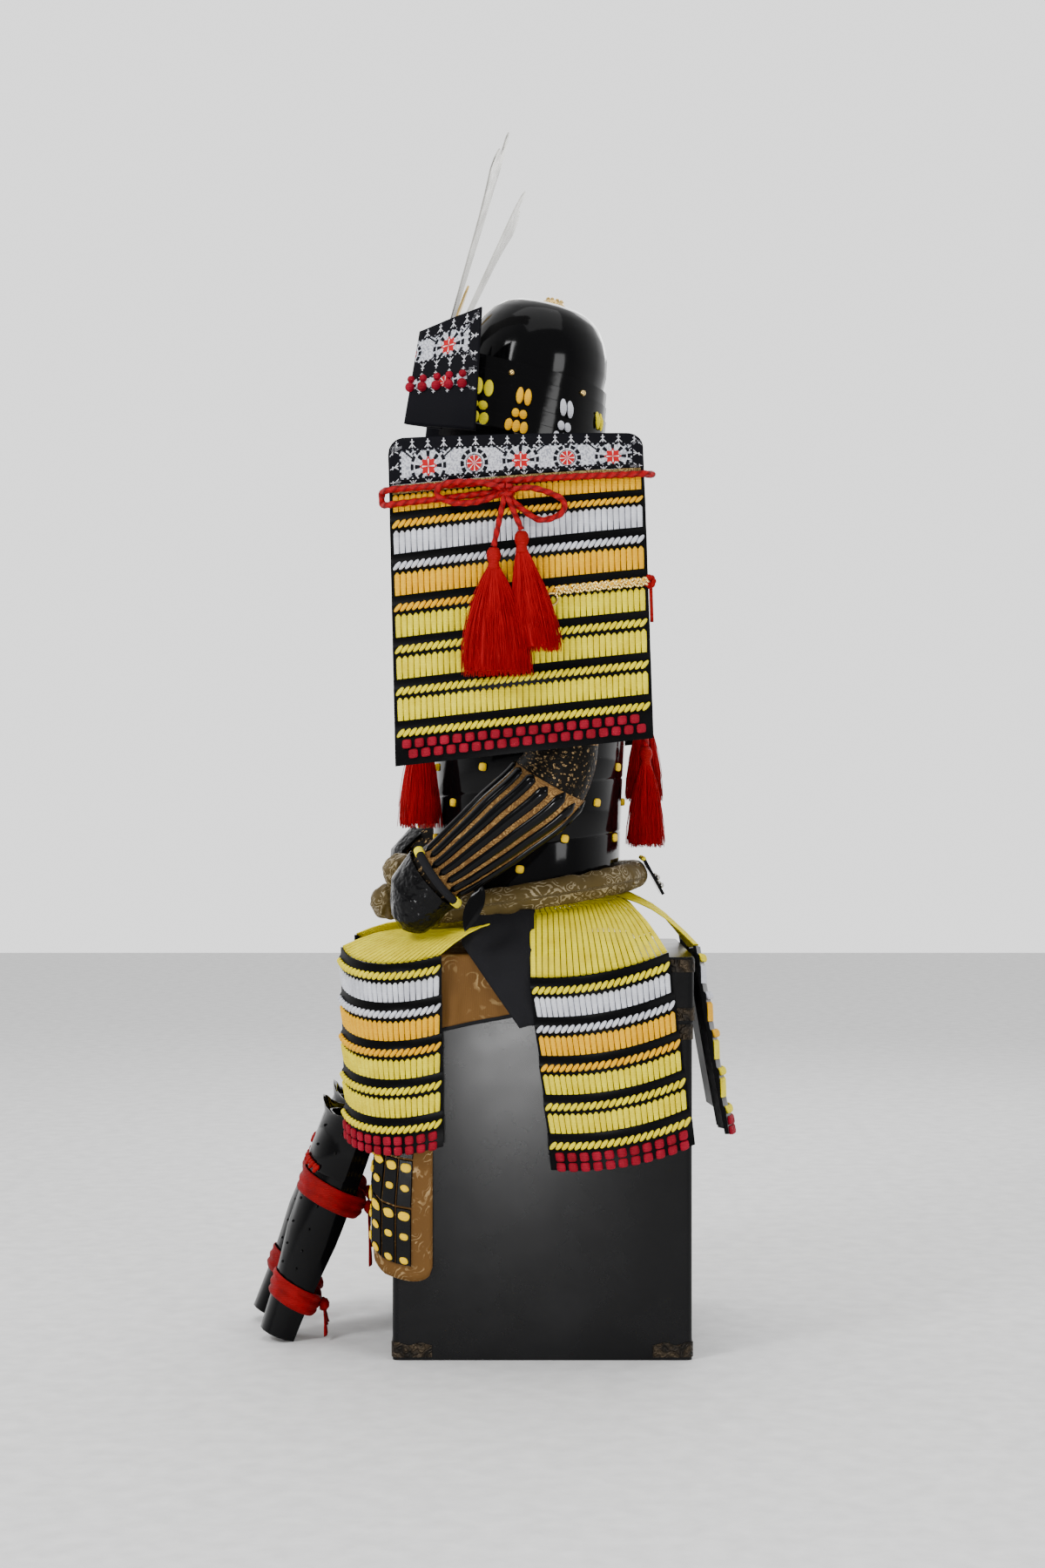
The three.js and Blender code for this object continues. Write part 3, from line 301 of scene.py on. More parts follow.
def printed_leather(name):
    """Pale leather with a printed lattice of dotted bands, wheels at their crossings and a dark edge of trefoils.
    The first map is in metres; the second holds the distance from the edge and the place along it, in metres."""
    n = Nodes(name)
    both = n.times
    border_width = 0.0142

    def either(*masks):
        total = masks[0]
        for mask in masks[1:]:
            total = n.maths("MAXIMUM", total, mask)
        return total

    def length(a, b):
        return n.maths("SQRT", n.plus(both(a, a), both(b, b)))

    def stripes(value, count, low):
        return n.over(n.cosine(n.times(value, count)), low)

    # Two sets of slanting bands cross every 114 mm; wheels lie on the crossings and between them
    wide, high = 0.114, 0.091
    x, y, _ = n.split(n.coordinates("UV"))
    a = n.plus(n.times(x, 1 / wide), n.times(y, 1 / high))
    b = n.minus(n.times(x, 1 / wide), n.times(y, 1 / high))

    def wheel(shift):
        """Radius in metres and angle from the nearest centre, with the two distances it comes from."""
        u = n.minus(n.fract(n.plus(a, shift)), 0.5)
        v = n.minus(n.fract(n.plus(b, shift)), 0.5)
        dx = n.times(n.plus(u, v), wide / 2)
        dy = n.times(n.minus(u, v), high / 2)
        return length(dx, dy), n.maths("ARCTAN2", dy, dx), n.absolute(u), n.absolute(v)

    r, turn, near_u, near_v = wheel(0.5)
    free, free_turn, _, _ = wheel(0.0)
    lines = either(n.between(near_u, 0.055, 0.088), n.between(near_v, 0.055, 0.088))
    lines = both(lines, either(stripes(a, 2 * pi * 30, -0.6), stripes(b, 2 * pi * 30, -0.6)))
    dots = either(
        both(n.under(near_u, 0.03), stripes(b, 2 * pi * 16, -0.3)),
        both(n.under(near_v, 0.03), stripes(a, 2 * pi * 16, -0.3)),
    )
    outside = n.over(r, 0.0225)
    tyre = both(n.between(r, 0.0185, 0.0225), stripes(turn, 14, -0.6))
    spokes = both(n.between(r, 0.0105, 0.017), stripes(turn, 8, 0.35))
    free_tyre = both(n.between(free, 0.0125, 0.0172), stripes(free_turn, 12, -0.75))
    free_rim = n.between(free, 0.0095, 0.0105)
    dark = either(both(either(lines, dots), outside), tyre, spokes, free_tyre, free_rim)
    petals = n.maths("MULTIPLY_ADD", n.cosine(n.times(turn, 8)), 0.0014, 0.0092)
    rosette = either(n.under(r, petals), n.under(free, 0.0092))
    white_rays = either(
        both(n.under(r, 0.008), stripes(turn, 4, 0.9)),
        both(n.under(free, 0.0092), stripes(free_turn, 8, 0.8)),
    )
    where = n.coordinates()
    speck = n.ramp(n.noise(where, 420, 2), [(0.46, 0.0), (0.6, 1.0)])
    pale = n.mix(speck, (0.62, 0.63, 0.68), (0.30, 0.31, 0.36))
    tone = n.mix(dark, pale, (0.006, 0.006, 0.009))
    tone = n.mix(rosette, tone, (0.46, 0.012, 0.016))
    tone = n.mix(white_rays, tone, (0.78, 0.78, 0.78))
    edge = n.tree.nodes.new("ShaderNodeUVMap")
    edge.uv_map = "edge"
    away, along, _ = n.split(edge.outputs[0])
    border_ground = n.under(away, border_width)
    s = n.times(away, 1 / border_width)
    side = n.absolute(n.minus(n.fract(n.times(along, 1 / 0.0195)), 0.5))
    stem = both(n.under(side, 0.032), n.between(s, 0.14, 0.86))
    bar = both(n.under(side, 0.12), n.between(s, 0.34, 0.42))
    slope = n.minus(side, n.times(n.minus(s, 0.56), 0.62))
    rays = both(n.between(slope, -0.03, 0.035), n.between(s, 0.6, 0.88))
    hem = both(n.between(away, border_width, border_width + 0.002), stripes(along, 2 * pi / 0.0065, -0.3))
    border = n.mix(either(stem, bar, rays), (0.004, 0.004, 0.006), (0.62, 0.62, 0.66))
    n.set(Base_Color=n.mix(either(border_ground, hem), tone, n.mix(hem, border, (0.004, 0.004, 0.006))))
    n.set(Roughness=0.62, IOR=1.15)
    n.bump(n.noise(where, 700, 3), 0.0002)
    return n.material


def plain_cloth(name, colour, rough=0.8):
    n = Nodes(name)
    where = n.coordinates()
    n.set(Base_Color=n.mix(n.noise(where, 30, 4), dim(0.7, colour), colour), Roughness=rough, IOR=1.2)
    n.bump(n.noise(where, 900, 2), 0.0002)
    return n.material


def ornate(name):
    """Dark chased metal for the box's corner plates."""
    n = Nodes(name)
    where = n.coordinates()
    chase = n.cells(where, 130, "SMOOTH_F1")
    n.set(Base_Color=n.mix(n.ramp(chase, [(0.2, 0.0), (0.6, 1.0)]), (0.05, 0.036, 0.022), (0.012, 0.01, 0.008)))
    n.set(Metallic=0.85, Roughness=0.42)
    n.bump(n.sine(n.times(chase, 26)), 0.0005)
    return n.material


BLACK = lacquer("black_lacquer")
BOX_BLACK = lacquer("box_lacquer", (0.003, 0.003, 0.0034), 0.21, 0.3, 0.00001, 1.24)
LAME_BLACK = lacquer("lame_lacquer", (0.002, 0.002, 0.0023), 0.34, 0.1, 0.0001, 1.14)
HAND_BLACK = lacquer("hand_lacquer", (0.003, 0.003, 0.0034), 0.16, 0.15, 0.007)
YELLOW = silk("yellow_silk", (0.94, 0.82, 0.014), (0.70, 0.56, 0.006))
ORANGE = silk("golden_silk", (0.94, 0.52, 0.0), (0.76, 0.37, 0.0))
KNOT_GOLD = silk("knot_silk", (0.98, 0.66, 0.01), (0.80, 0.48, 0.004))
WHITE = silk("white_silk", (0.78, 0.80, 0.86), (0.52, 0.53, 0.58))
RED = silk("red_silk", (0.36, 0.001, 0.003), (0.18, 0.001, 0.001))
RED_KNOT = silk("crimson_silk", (0.36, 0.006, 0.028), (0.16, 0.002, 0.008))
TIE_RED = silk("tie_silk", (0.30, 0.001, 0.004), (0.14, 0.001, 0.002), 0.0011)
RED_STRANDS = plain_cloth("red_strands", (0.40, 0.0, 0.004), 0.5)
RED_CORD = twisted_silk("red_cord", (0.40, 0.0, 0.004))
BROCADE = brocade("brown_brocade", (0.15, 0.070, 0.016), (0.55, 0.38, 0.16), 0.020, 0.55, 0.6)
PANEL_BROCADE = brocade("panel_brocade", (0.15, 0.070, 0.016), (0.52, 0.35, 0.16), 0.012, 0.55, 0.5)
SPLINT_BROCADE = brocade("splint_brocade", (0.15, 0.072, 0.020), (0.50, 0.29, 0.09), 0.007, 0.30, 0.1)
ROLL_BROCADE = brocade("olive_brocade", (0.100, 0.068, 0.020), (0.52, 0.43, 0.26), 0.013, 0.50, 0.35)
GOLD_BROCADE = brocade("gold_brocade", (0.16, 0.10, 0.03), (0.70, 0.52, 0.20), 0.008, 0.3)
MAIL = mail("mail")
LEATHER = printed_leather("printed_leather")
SILVER = metal("silver", (0.56, 0.55, 0.51), 0.36, 0.5)
GOLD = metal("gold", (0.75, 0.52, 0.18), 0.26, 0.35)
LACE_GOLD = metal("lace_gold", (0.98, 0.76, 0.28), 0.18, 0.2)
WOOD = plain_cloth("stand_wood", (0.05, 0.03, 0.018), 0.5)
BLACK_CLOTH = plain_cloth("black_cloth", (0.012, 0.012, 0.014))
ORNATE = ornate("ornate_metal")


# Mesh builders


def piece(name, points, faces, material, slot, maps=None, edge=None, smooth=True, picks=None, replaces=()):
    """A mesh from points in millimetres. maps and edge hold a pair a point, and picks a material for each face."""
    data = bpy.data.meshes.new(name)
    data.from_pydata([tuple(c * MM for c in p) for p in points], [], faces)
    materials = material if isinstance(material, list) else [material]
    for m in materials:
        data.materials.append(m)
    if picks:
        data.polygons.foreach_set("material_index", picks)
    data.polygons.foreach_set("use_smooth", [smooth] * len(faces))
    loops = [0] * len(data.loops)
    data.loops.foreach_get("vertex_index", loops)
    for title, pairs in (("UVMap", maps), ("edge", edge)):
        if pairs:
            layer = data.uv_layers.new(name=title)
            layer.data.foreach_set("uv", [c * MM for i in loops for c in pairs[i]])
    data.update()
    made = bpy.data.objects.new(name, data)
    bpy.context.collection.objects.link(made)
    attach(made, "root")
    if replaces:
        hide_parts(*replaces)
    return made


def grid_faces(rows, columns, start=0, wrap=False, flip=False):
    faces = []
    for i in range(rows - 1):
        for j in range(columns if wrap else columns - 1):
            k = (j + 1) % columns
            a, b = start + i * columns + j, start + i * columns + k
            quad = (a, b, b + columns, a + columns)
            faces.append(quad[::-1] if flip else quad)
    return faces


def shell(place, rows, columns, thickness, wrap=False):
    """Points, faces, map and own (row, column) of a thin closed wall; place(row, column, out) gives a point."""
    n, m = len(rows), len(columns)
    own = [(r, c) for r in rows for c in columns] * 2
    points = [place(r, c, out) for out in (0, -thickness) for r in rows for c in columns]
    down = distances(points[m // 2 : n * m : m])
    across = distances(points[n // 2 * m : (n // 2 + 1) * m])
    maps = [(a, d) for d in down for a in across] * 2
    back = n * m
    faces = grid_faces(n, m, 0, wrap) + grid_faces(n, m, back, wrap, True)

    def rim(a, b):
        faces.append((a, b, back + b, back + a))

    for j in range(m if wrap else m - 1):
        k = (j + 1) % m
        rim(k, j)
        rim((n - 1) * m + j, (n - 1) * m + k)
    for i in range(0 if wrap else n - 1):
        rim(i * m, (i + 1) * m)
        rim((i + 2) * m - 1, (i + 1) * m - 1)
    return points, faces, maps, own


def wall(name, place, rows, columns, thickness, material, slot, wrap=False, **more):
    """A shell as a piece of its own."""
    points, faces, maps, _ = shell(place, rows, columns, thickness, wrap)
    return piece(name, points, faces, material, slot, maps, **more)


class Heap:
    """Collects many small shapes into one mesh."""

    def __init__(self):
        self.points, self.faces, self.maps, self.picks = [], [], [], []

    def add(self, points, faces, maps=None, pick=0):
        start = len(self.points)
        self.points += points
        self.faces += [tuple(start + i for i in f) for f in faces]
        self.maps += maps or [(0, 0)] * len(points)
        self.picks += [pick] * len(faces)

    def make(self, name, material, slot, replaces=(), smooth=True):
        return piece(name, self.points, self.faces, material, slot, self.maps, None, smooth, self.picks, replaces)


def globe_faces(high, wide, flip=False):
    """Faces over the rings of a closed lump, whose two end points come last."""
    faces = grid_faces(high - 1, wide, 0, True, flip)
    last, top = (high - 2) * wide, (high - 1) * wide
    for j in range(wide):
        k = (j + 1) % wide
        for a, b, end in ((k, j, top), (last + j, last + k, top + 1)):
            faces.append((b, a, end) if flip else (a, b, end))
    return faces


def lump(place, u, v, h, size, turn=0.0, high=4, wide=8, square=1.0):
    """A small rounded lump on a surface: size is (across, down, out) in millimetres, and place takes mm across,
    down and out. square under 1 makes its outline squarer."""
    points = []
    c, s = cos(turn), sin(turn)
    for i in range(1, high):
        a = pi * i / high
        for j in range(wide):
            b = 2 * pi * j / wide
            x = size[0] * sin(a) ** square * cos(b)
            y = size[1] * copysign(abs(cos(a)) ** square, cos(a))
            z = size[2] * sin(a) ** square * sin(b)
            points.append(place(u + c * x - s * y, v + s * x + c * y, h + z))
    points += [place(u - s * size[1], v + c * size[1], h), place(u + s * size[1], v - c * size[1], h)]
    return points, globe_faces(high, wide)


def strip(place, line, width, high, pinch=(0.55, 0.9)):
    """A flat cord on a surface. line is a list of (across, down, out); it is rounded over its width."""
    section = [(-0.5, 0.0), (-0.42, 0.62), (-0.16, 1.0), (0.16, 1.0), (0.42, 0.62), (0.5, 0.0)]
    points = []
    last = len(line) - 1
    for i, (u, v, h) in enumerate(line):
        tight = pinch[0] if i == 0 else pinch[1] if i == last else 1.0
        for x, y in section:
            points.append(place(u + x * width * tight, v, h + y * high * (0.5 if i == 0 else 1.0)))
    faces = grid_faces(len(line), len(section), 0, False)
    faces.append(tuple(range(len(section)))[::-1])
    return points, faces


def hermite(p1, p2, m1, m2, t):
    t2, t3 = t * t, t * t * t
    return (2 * t3 - 3 * t2 + 1) * p1 + (t3 - 2 * t2 + t) * m1 + (3 * t2 - 2 * t3) * p2 + (t3 - t2) * m2


def curve(points, count, tension=0.5, loop=False):
    """Evenly spaced points on a smooth curve through the given ones, and its length."""
    knots = [Vector(p) for p in points]
    n = len(knots)
    dense = []
    for i in range(n if loop else n - 1):
        p1, p2 = knots[i], knots[(i + 1) % n]
        p0 = knots[i - 1] if i > 0 or loop else 2 * p1 - p2
        p3 = knots[(i + 2) % n] if i + 2 < n or loop else 2 * p2 - p1
        dense += [hermite(p1, p2, tension * (p2 - p0), tension * (p3 - p1), k / 24) for k in range(24)]
    dense.append(knots[0] if loop else knots[-1])
    lengths = distances(dense)
    result, at = [], 0
    for i in range(count + 1):
        target = lengths[-1] * i / count
        while at < len(dense) - 2 and lengths[at + 1] < target:
            at += 1
        span = lengths[at + 1] - lengths[at]
        result.append(dense[at].lerp(dense[at + 1], (target - lengths[at]) / span if span else 0))
    return result, lengths[-1]


def tube(points, radius, sides=10, loop=False, step=3.0, twist=0.0, pitch=13.0):
    """A round cord along a smooth curve, with its map in millimetres along; twist raises two strands."""
    _, length = curve(points, 4, 0.5, loop)
    count = max(6, int(length / step))
    line, length = curve(points, count, 0.5, loop)
    out, maps = [], []
    normal = None
    for i, p in enumerate(line):
        along = (line[min(i + 1, count)] - line[max(i - 1, 0)]).normalized()
        if normal is None:
            normal = along.orthogonal().normalized()
        normal = (normal - normal.dot(along) * along).normalized()
        side = along.cross(normal)
        for j in range(sides + 1):
            a = 2 * pi * j / sides
            r = radius * (1 - twist + twist * cos(2 * (a - pi * (length * i / count) / pitch)))
            out.append(tuple(p + normal * (r * cos(a)) + side * (r * sin(a))))
            maps.append((1000 * j / sides, length * i / count))
    faces = grid_faces(count + 1, sides + 1, 0, False, True)
    faces.append(tuple(range(sides + 1)))
    faces.append(tuple(range(count * (sides + 1), (count + 1) * (sides + 1)))[::-1])
    return out, faces, maps


def ball(centre, size, wide=20, high=14, rough=0.0, seed=0.0):
    points = []
    for i in range(1, high):
        a = pi * i / high
        for j in range(wide):
            b = 2 * pi * j / wide
            d = Vector((sin(a) * cos(b), sin(a) * sin(b), cos(a)))
            k = 1 + rough * ripple(*d, 0.5, seed)
            points.append(tuple(centre[c] + size[c] * d[c] * k for c in range(3)))
    points += [(centre[0], centre[1], centre[2] + size[2]), (centre[0], centre[1], centre[2] - size[2])]
    return points, globe_faces(high, wide, True), [(p[0] + p[1], p[2]) for p in points]


SIDES = (("left", 1), ("right", -1))


def to(sign, p):
    """The point, or its mirror image on the armour's right."""
    return (sign * p[0], p[1], p[2])


def on(sign, place):
    """The same surface on either side."""
    return lambda *values: to(sign, place(*values))


# Laced panels: from its top edge a lame has a black strip, braid, a thin gap and cords down to the next lame


def lame_height(v, pitch, last):
    """How far the lame's face stands out at a distance below its top edge."""
    if v < 9:
        return 4.0
    if v < 13:
        return lerp(4.0, 6.4, (v - 9) / 4)
    end = 5 if last else 2
    return lerp(6.4, end, clamp((v - 13) / (pitch - 13.5)))


BRAID_PITCH, BRAID_DOWN = 7.4, 14.6
TONES = [YELLOW, ORANGE, WHITE, RED_KNOT]


def laced_panel(name, place, width, pitch, rows, cords, knots, first=0.0, foot=None, stagger=0):
    """rows is a list of (braid material, lacing material or None); place takes mm across, mm down and mm out."""
    heap = Heap()
    step = width / cords
    knot_pitch = (width - 6) / (knots + stagger / 2)
    random.seed(len(name) + cords)
    for i, (braid, lacing) in enumerate(rows):
        top = first + i * pitch
        last = i == len(rows) - 1
        deep = foot if last else pitch
        count = int(width / BRAID_PITCH)
        for k in range(count):
            u = (k + 0.5) * width / count - width / 2
            h = lame_height(BRAID_DOWN, deep, last) + 0.7
            shape = lump(place, u, top + BRAID_DOWN, h, (2.8, 6.6, 3.2), 0.76, 6, 10)
            heap.add(*shape, pick=TONES.index(braid))
        if lacing is not None:
            for k in range(cords):
                u = (k + 0.5) * step - width / 2
                v0, v1 = top + 22.8 + random.uniform(-0.5, 0.5), top + pitch - 0.6
                line = []
                for share, out in ((0, -0.4), (0.12, 0.5), (0.55, 0.5), (1, 0.2)):
                    v = v1 if share == 1 else lerp(v0, v1, share)
                    line.append((u, v, lame_height(v - top, deep, last) + out))
                heap.add(*strip(place, line, 0.93 * step, 2.0, (0.3, 0.9)), pick=TONES.index(lacing))
            continue
        for row in range(2):
            v = top + 28.5 + 12.5 * row
            for k in range(knots):
                u = (k + 0.5 + stagger / 2 * row) * knot_pitch - (width - 6) / 2
                h = lame_height(v - top, deep, last) + 0.6
                size = (0.38 * knot_pitch, 5.6, 3.4)
                heap.add(*lump(place, u, v, h, size, random.uniform(-0.06, 0.06), 8, 14, 0.5), pick=3)
    return heap.make(name, TONES, "yellow_lacing")


# Shoulder guards

GUARD = {"x": 296, "bow": 20, "top": 1093, "y": -32.5, "half_width": 157, "pitch": 51.4, "first": 34, "foot": 55}


def guard_point(u, v, h):
    down = v / 347
    rise = lerp(23, 12, -v / 56) if v < 0 else 23 + 12 * min(1, v / 60)
    splay = (v / 50) ** 2 * 5 if v < 0 else 0
    return (
        GUARD["x"] - GUARD["bow"] * u * u + splay + h,
        GUARD["y"] + 10 * down + (GUARD["half_width"] + 2 * down) * u,
        GUARD["top"] - v + rise * (u + 1) / 2,
    )


def guard_mm(u, v, h):
    return guard_point(u / GUARD["half_width"], v, h)


GUARD_ROWS = [(ORANGE, WHITE), (WHITE, ORANGE), (ORANGE, YELLOW), (YELLOW, YELLOW), (YELLOW, YELLOW),
              (YELLOW, None)]

GUARD_LACED, GUARD_CORDS = 306, 42
BOARD_CORNER = 20
BOARD_EDGE = [-1, -0.992, -0.98, -0.965, -0.94, -0.92, -0.89, -0.873]
BOARD_ACROSS = BOARD_EDGE + steps(-0.85, 0.85, 44) + [-u for u in reversed(BOARD_EDGE)]


def guard_board(v, u, out):
    along = (1 - abs(u)) * GUARD["half_width"]
    inside = max(0.0, BOARD_CORNER**2 - (BOARD_CORNER - along) ** 2)
    rounding = BOARD_CORNER - sqrt(inside) if along < BOARD_CORNER else 0
    return guard_point(u, -GAP - v * (54 - rounding - 3 * u), 4.6 + out)


def board_edge(v, u):
    """The distance from the board's edge and the place along it."""
    high = 52 - 3 * u
    rims = (v * high + 9, (1 - v) * high)
    away = min((1 - abs(u)) * GUARD["half_width"], *rims)
    return (away, u * GUARD["half_width"] if away in rims else v * high + 7)


for side, sign in SIDES:
    where = on(sign, guard_mm)
    laced_panel("guard_lacing_" + side, where, GUARD_LACED, GUARD["pitch"], GUARD_ROWS, GUARD_CORDS, 19,
                GUARD["first"], GUARD["foot"], 1)
    heap = Heap()
    for k in range(GUARD_CORDS):
        u = (k + 0.5) * GUARD_LACED / GUARD_CORDS - GUARD_LACED / 2
        heap.add(*strip(where, [(u, 12, 2.6), (u, 15, 3.4), (u, 26, 3.4), (u, 33.4, 3.2)], 6.8, 1.9))
    heap.make("guard_top_lacing_" + side, [ORANGE], "yellow_lacing")
    wall("guard_brocade_strip_" + side, lambda v, u, out: where(u, v, 4.6 + out), [0.6, 3, 6, 9, 11.4],
         steps(-153, 153, 40), 1.4, GOLD_BROCADE, "brocade")
    points, faces, maps, own = shell(on(sign, guard_board), steps(0, 1, 12), BOARD_ACROSS, 4.9)
    piece("guard_board_" + side, points, faces, LEATHER, "printed_leather", [(a - 169, d - 17) for a, d in maps],
          [board_edge(*at) for at in own], replaces=["guard_top_" + side])

# Tassets and their suspension cords

TASSET_COLUMNS = ("name", "x", "y", "radius", "from", "to", "z", "rise", "lift", "flare", "drift", "waist",
                  "cords")
TASSETS = [dict(zip(TASSET_COLUMNS, row)) for row in (
    ("front_left", 122, -151, 105, -80, 13, 500, -6, 14, -4, 3, (30, 84), 22),
    ("side_left", 13, 71, 228, -22, 22, 490, 32, 9, 7, 30, (91, 150), 22),
    ("rear_left", 88, -90, 292, 103, 75, 514, 12, 0, 42, 0, (176, 153), 18),
    ("front_centre", 0, 260, 468, -98.5, -81.5, 505, 0, 4, 0, 0, (-25, 25), 18),
)]
TASSET_ROWS = [(YELLOW, WHITE), (WHITE, ORANGE), (ORANGE, YELLOW), (YELLOW, YELLOW), (YELLOW, None)]

# Cuirass sections: height, half width, half depth and centre along Y
CUIRASS = [
    (582, 152, 124, -21),
    (650, 155, 124, -20),
    (760, 165, 125, -16),
    (860, 171, 129, -14),
    (950, 171, 129, -12),
    (1090, 158, 116, -8),
]


def torso(angle, z, out):
    half_width, half_depth, y = (read(CUIRASS, c, z) for c in (1, 2, 3))
    s, c = sin(angle), cos(angle)
    return Vector((
        (half_width + out) * copysign(abs(s) ** 0.88, s),
        y - (half_depth + out) * copysign(abs(c) ** 0.88, c),
        z,
    ))


def waist_height(y):
    return WAIST["z"] + (y - WAIST["y"]) * WAIST["slope"]


def roll_point(angle, out, up):
    base = torso(angle, WAIST["z"], 0)
    middle = torso(angle, WAIST["z"], ROLL_RADIUS + 0.6 + GAP)
    outward = (middle - base).normalized()
    middle.z = waist_height(middle.y)
    return middle + outward * out + Vector((0, 0, up))


def tasset_point(t, u, v, h):
    angle = rad(lerp(t["from"], t["to"], (u + 1) / 2))
    reach = v / (5 * PANEL_PITCH)
    r = t["radius"] + t["flare"] * (reach * reach if t["flare"] < 0 else reach) + h
    z = t["z"] - v + (t["rise"] / 2) * u + t["lift"] * u * u
    return (t["x"] + r * cos(angle), t["y"] + r * sin(angle) + t["drift"] * reach, z)


def curtain(t, u, v):
    """The middle of the suspension cords, v from 0 at the hem to 3 at the top lame."""
    angle = rad(lerp(t["waist"][0], t["waist"][1], (u + 1) / 2))
    base = torso(angle, WAIST["z"], 0)
    outward = (torso(angle, WAIST["z"], 1) - base).normalized()

    def away(out, z):
        p = base + outward * out
        return Vector((p.x, p.y, z))

    roll = roll_point(angle, 0, 0).z
    line = [away(-2, waist_height(base.y) - 7), away(0, roll - 20.5), away(17, roll - 26),
            Vector(tasset_point(t, u, -GAP - 1.2, 1.5))]
    i = min(2, int(v))
    crown = 10 * sin(pi * (v - 2)) if i == 2 else 0
    return line[i].lerp(line[i + 1], v - i) + Vector((0, 0, crown))


CORD_SECTION = ((-1, 0), (-0.7, 0.9), (0, 1.2), (0.7, 0.9), (1, 0), (0.7, -0.9), (0, -1.2), (-0.7, -0.9))


def make_tasset(t, name, sign):
    span = abs(rad(t["to"] - t["from"])) * t["radius"]
    place = on(sign, lambda u, v, h: tasset_point(t, 2 * u / span, v, h))
    cords, knots = round(span / 7.4), round(span / 15.5)
    laced_panel("tasset_lacing_" + name, place, span - 6, PANEL_PITCH, TASSET_ROWS, cords, knots, 0, 46)
    share = 0.455 if t["name"].startswith("side") else 0.43
    rows = [0, 0.5, 1, 1.5, 2, 2.2, 2.4, 2.6, 2.8, 2.95, 3]
    heap = Heap()
    for k in range(t["cords"]):
        u = (k + 0.5) / t["cords"] * 2 - 1
        points = []
        for v in rows:
            middle = curtain(t, u, v)
            across = (curtain(t, u + 0.02, v) - curtain(t, u - 0.02, v)).normalized()
            along = (curtain(t, u, min(3, v + 0.03)) - curtain(t, u, max(0, v - 0.03))).normalized()
            normal = across.cross(along).normalized()
            if v > 1.6 and normal.z < 0:
                normal = -normal
            half = share * (curtain(t, u + 1 / t["cords"], v) - curtain(t, u - 1 / t["cords"], v)).length
            points += [to(sign, middle + across * (x * half) + normal * y) for x, y in CORD_SECTION]
        faces = grid_faces(len(rows), 8, 0, True)
        faces += [tuple(range(8)), tuple(range(8 * len(rows) - 8, 8 * len(rows)))[::-1]]
        heap.add(points, faces)
    heap.make("suspension_" + name, [YELLOW], "yellow_lacing", ["cords_" + name])


for t in TASSETS:
    for side, sign in SIDES if "left" in t["name"] else SIDES[:1]:
        make_tasset(t, t["name"].replace("left", side), sign)

# Lacquered and metal CAD bodies keep their solids and get their finish


def dress(names, material, angle=35):
    for name in names:
        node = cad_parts[name]
        node.data.materials.clear()
        node.data.materials.append(material)
        node.data.polygons.foreach_set("use_smooth", [True] * len(node.data.polygons))
        node.modifiers.new("weld", "WELD").merge_threshold = 0.00002
        node.modifiers.new("split", "EDGE_SPLIT").split_angle = rad(angle)


def both(*names):
    return [name + "_" + side for name in names for side, _ in SIDES]


dress(both("guard", "tasset_front", "tasset_side", "tasset_rear") + ["tasset_front_centre"], LAME_BLACK)
dress(["cuirass", "neck_guard", "helmet_bowl", "waist_holder"], BLACK)
dress(both("shin_guard", "knee_plate"), BLACK, 50)
dress(both("hand_plate"), HAND_BLACK, 60)
dress(["box_body", "box_lid"], BOX_BLACK, 30)
dress(["display_stand"], WOOD)
dress(["crown_ring", "crest_socket"], GOLD)
dress(both("crest_horn"), SILVER)

# Armoured sleeves: a brocade tube with mail at the elbow and the hand, and splints on the forearm

# Arm line, shoulder to fingers: x, y, z, half width across, half depth
ARM = [
    (150, -9, 1091, 40, 38),
    (196, -12, 1066, 43, 44),
    (221, -8, 1000, 45, 46),
    (226, 8, 890, 44, 46),
    (228, 24, 795, 44, 47),
    (226, 10, 730, 46, 49),
    (214, -48, 676, 46, 47),
    (202, -102, 632, 42, 43),
    (191, -148, 595, 38, 38),
    (184, -159, 566, 36, 26),
    (179, -164, 545, 28, 17),
]
ELBOW = 5
WRIST = 8
SPLINTS = 7
# The creases that gather the sleeve: place along the arm, angle of the middle, depth, half length in degrees
CREASES = [(3.3, 20, 2.6, 70), (3.75, -10, 3.4, 85), (4.2, 15, 4.2, 100), (4.6, -5, 3.6, 80), (1.4, 120, 3.0, 80),
           (2.1, 60, 2.2, 60), (2.6, 150, 2.8, 75), (5.3, 190, 2.2, 60), (6.1, 170, 2.6, 65)]


def arm_middle(rows, at):
    last = len(rows) - 1
    i = min(int(at), last - 1)
    t = at - i
    p1, p2 = Vector(rows[i][:3]), Vector(rows[i + 1][:3])
    p0 = Vector(rows[i - 1][:3]) if i > 0 else 2 * p1 - p2
    p3 = Vector(rows[i + 2][:3]) if i + 2 <= last else 2 * p2 - p1
    d0, d1, d2 = (sqrt((b - a).length) for a, b in ((p0, p1), (p1, p2), (p2, p3)))
    m1 = ((p1 - p0) / d0 - (p2 - p0) / (d0 + d1) + (p2 - p1) / d1) * d1
    m2 = ((p2 - p1) / d1 - (p3 - p1) / (d1 + d2) + (p3 - p2) / d2) * d1
    return hermite(p1, p2, m1, m2, t)


def arm_point(rows, angle, at, out):
    along = (arm_middle(rows, min(at + 0.001, 10)) - arm_middle(rows, max(at - 0.001, 0))).normalized()
    front = along.cross(Vector((1, 0, 0))).normalized()
    side = front.cross(along).normalized()
    i = min(int(at), 9)
    across = lerp(rows[i][3], rows[i + 1][3], at - i) + out
    deep = lerp(rows[i][4], rows[i + 1][4], at - i) + out
    return arm_middle(rows, at) + front * (deep * cos(angle)) + side * (across * sin(angle))


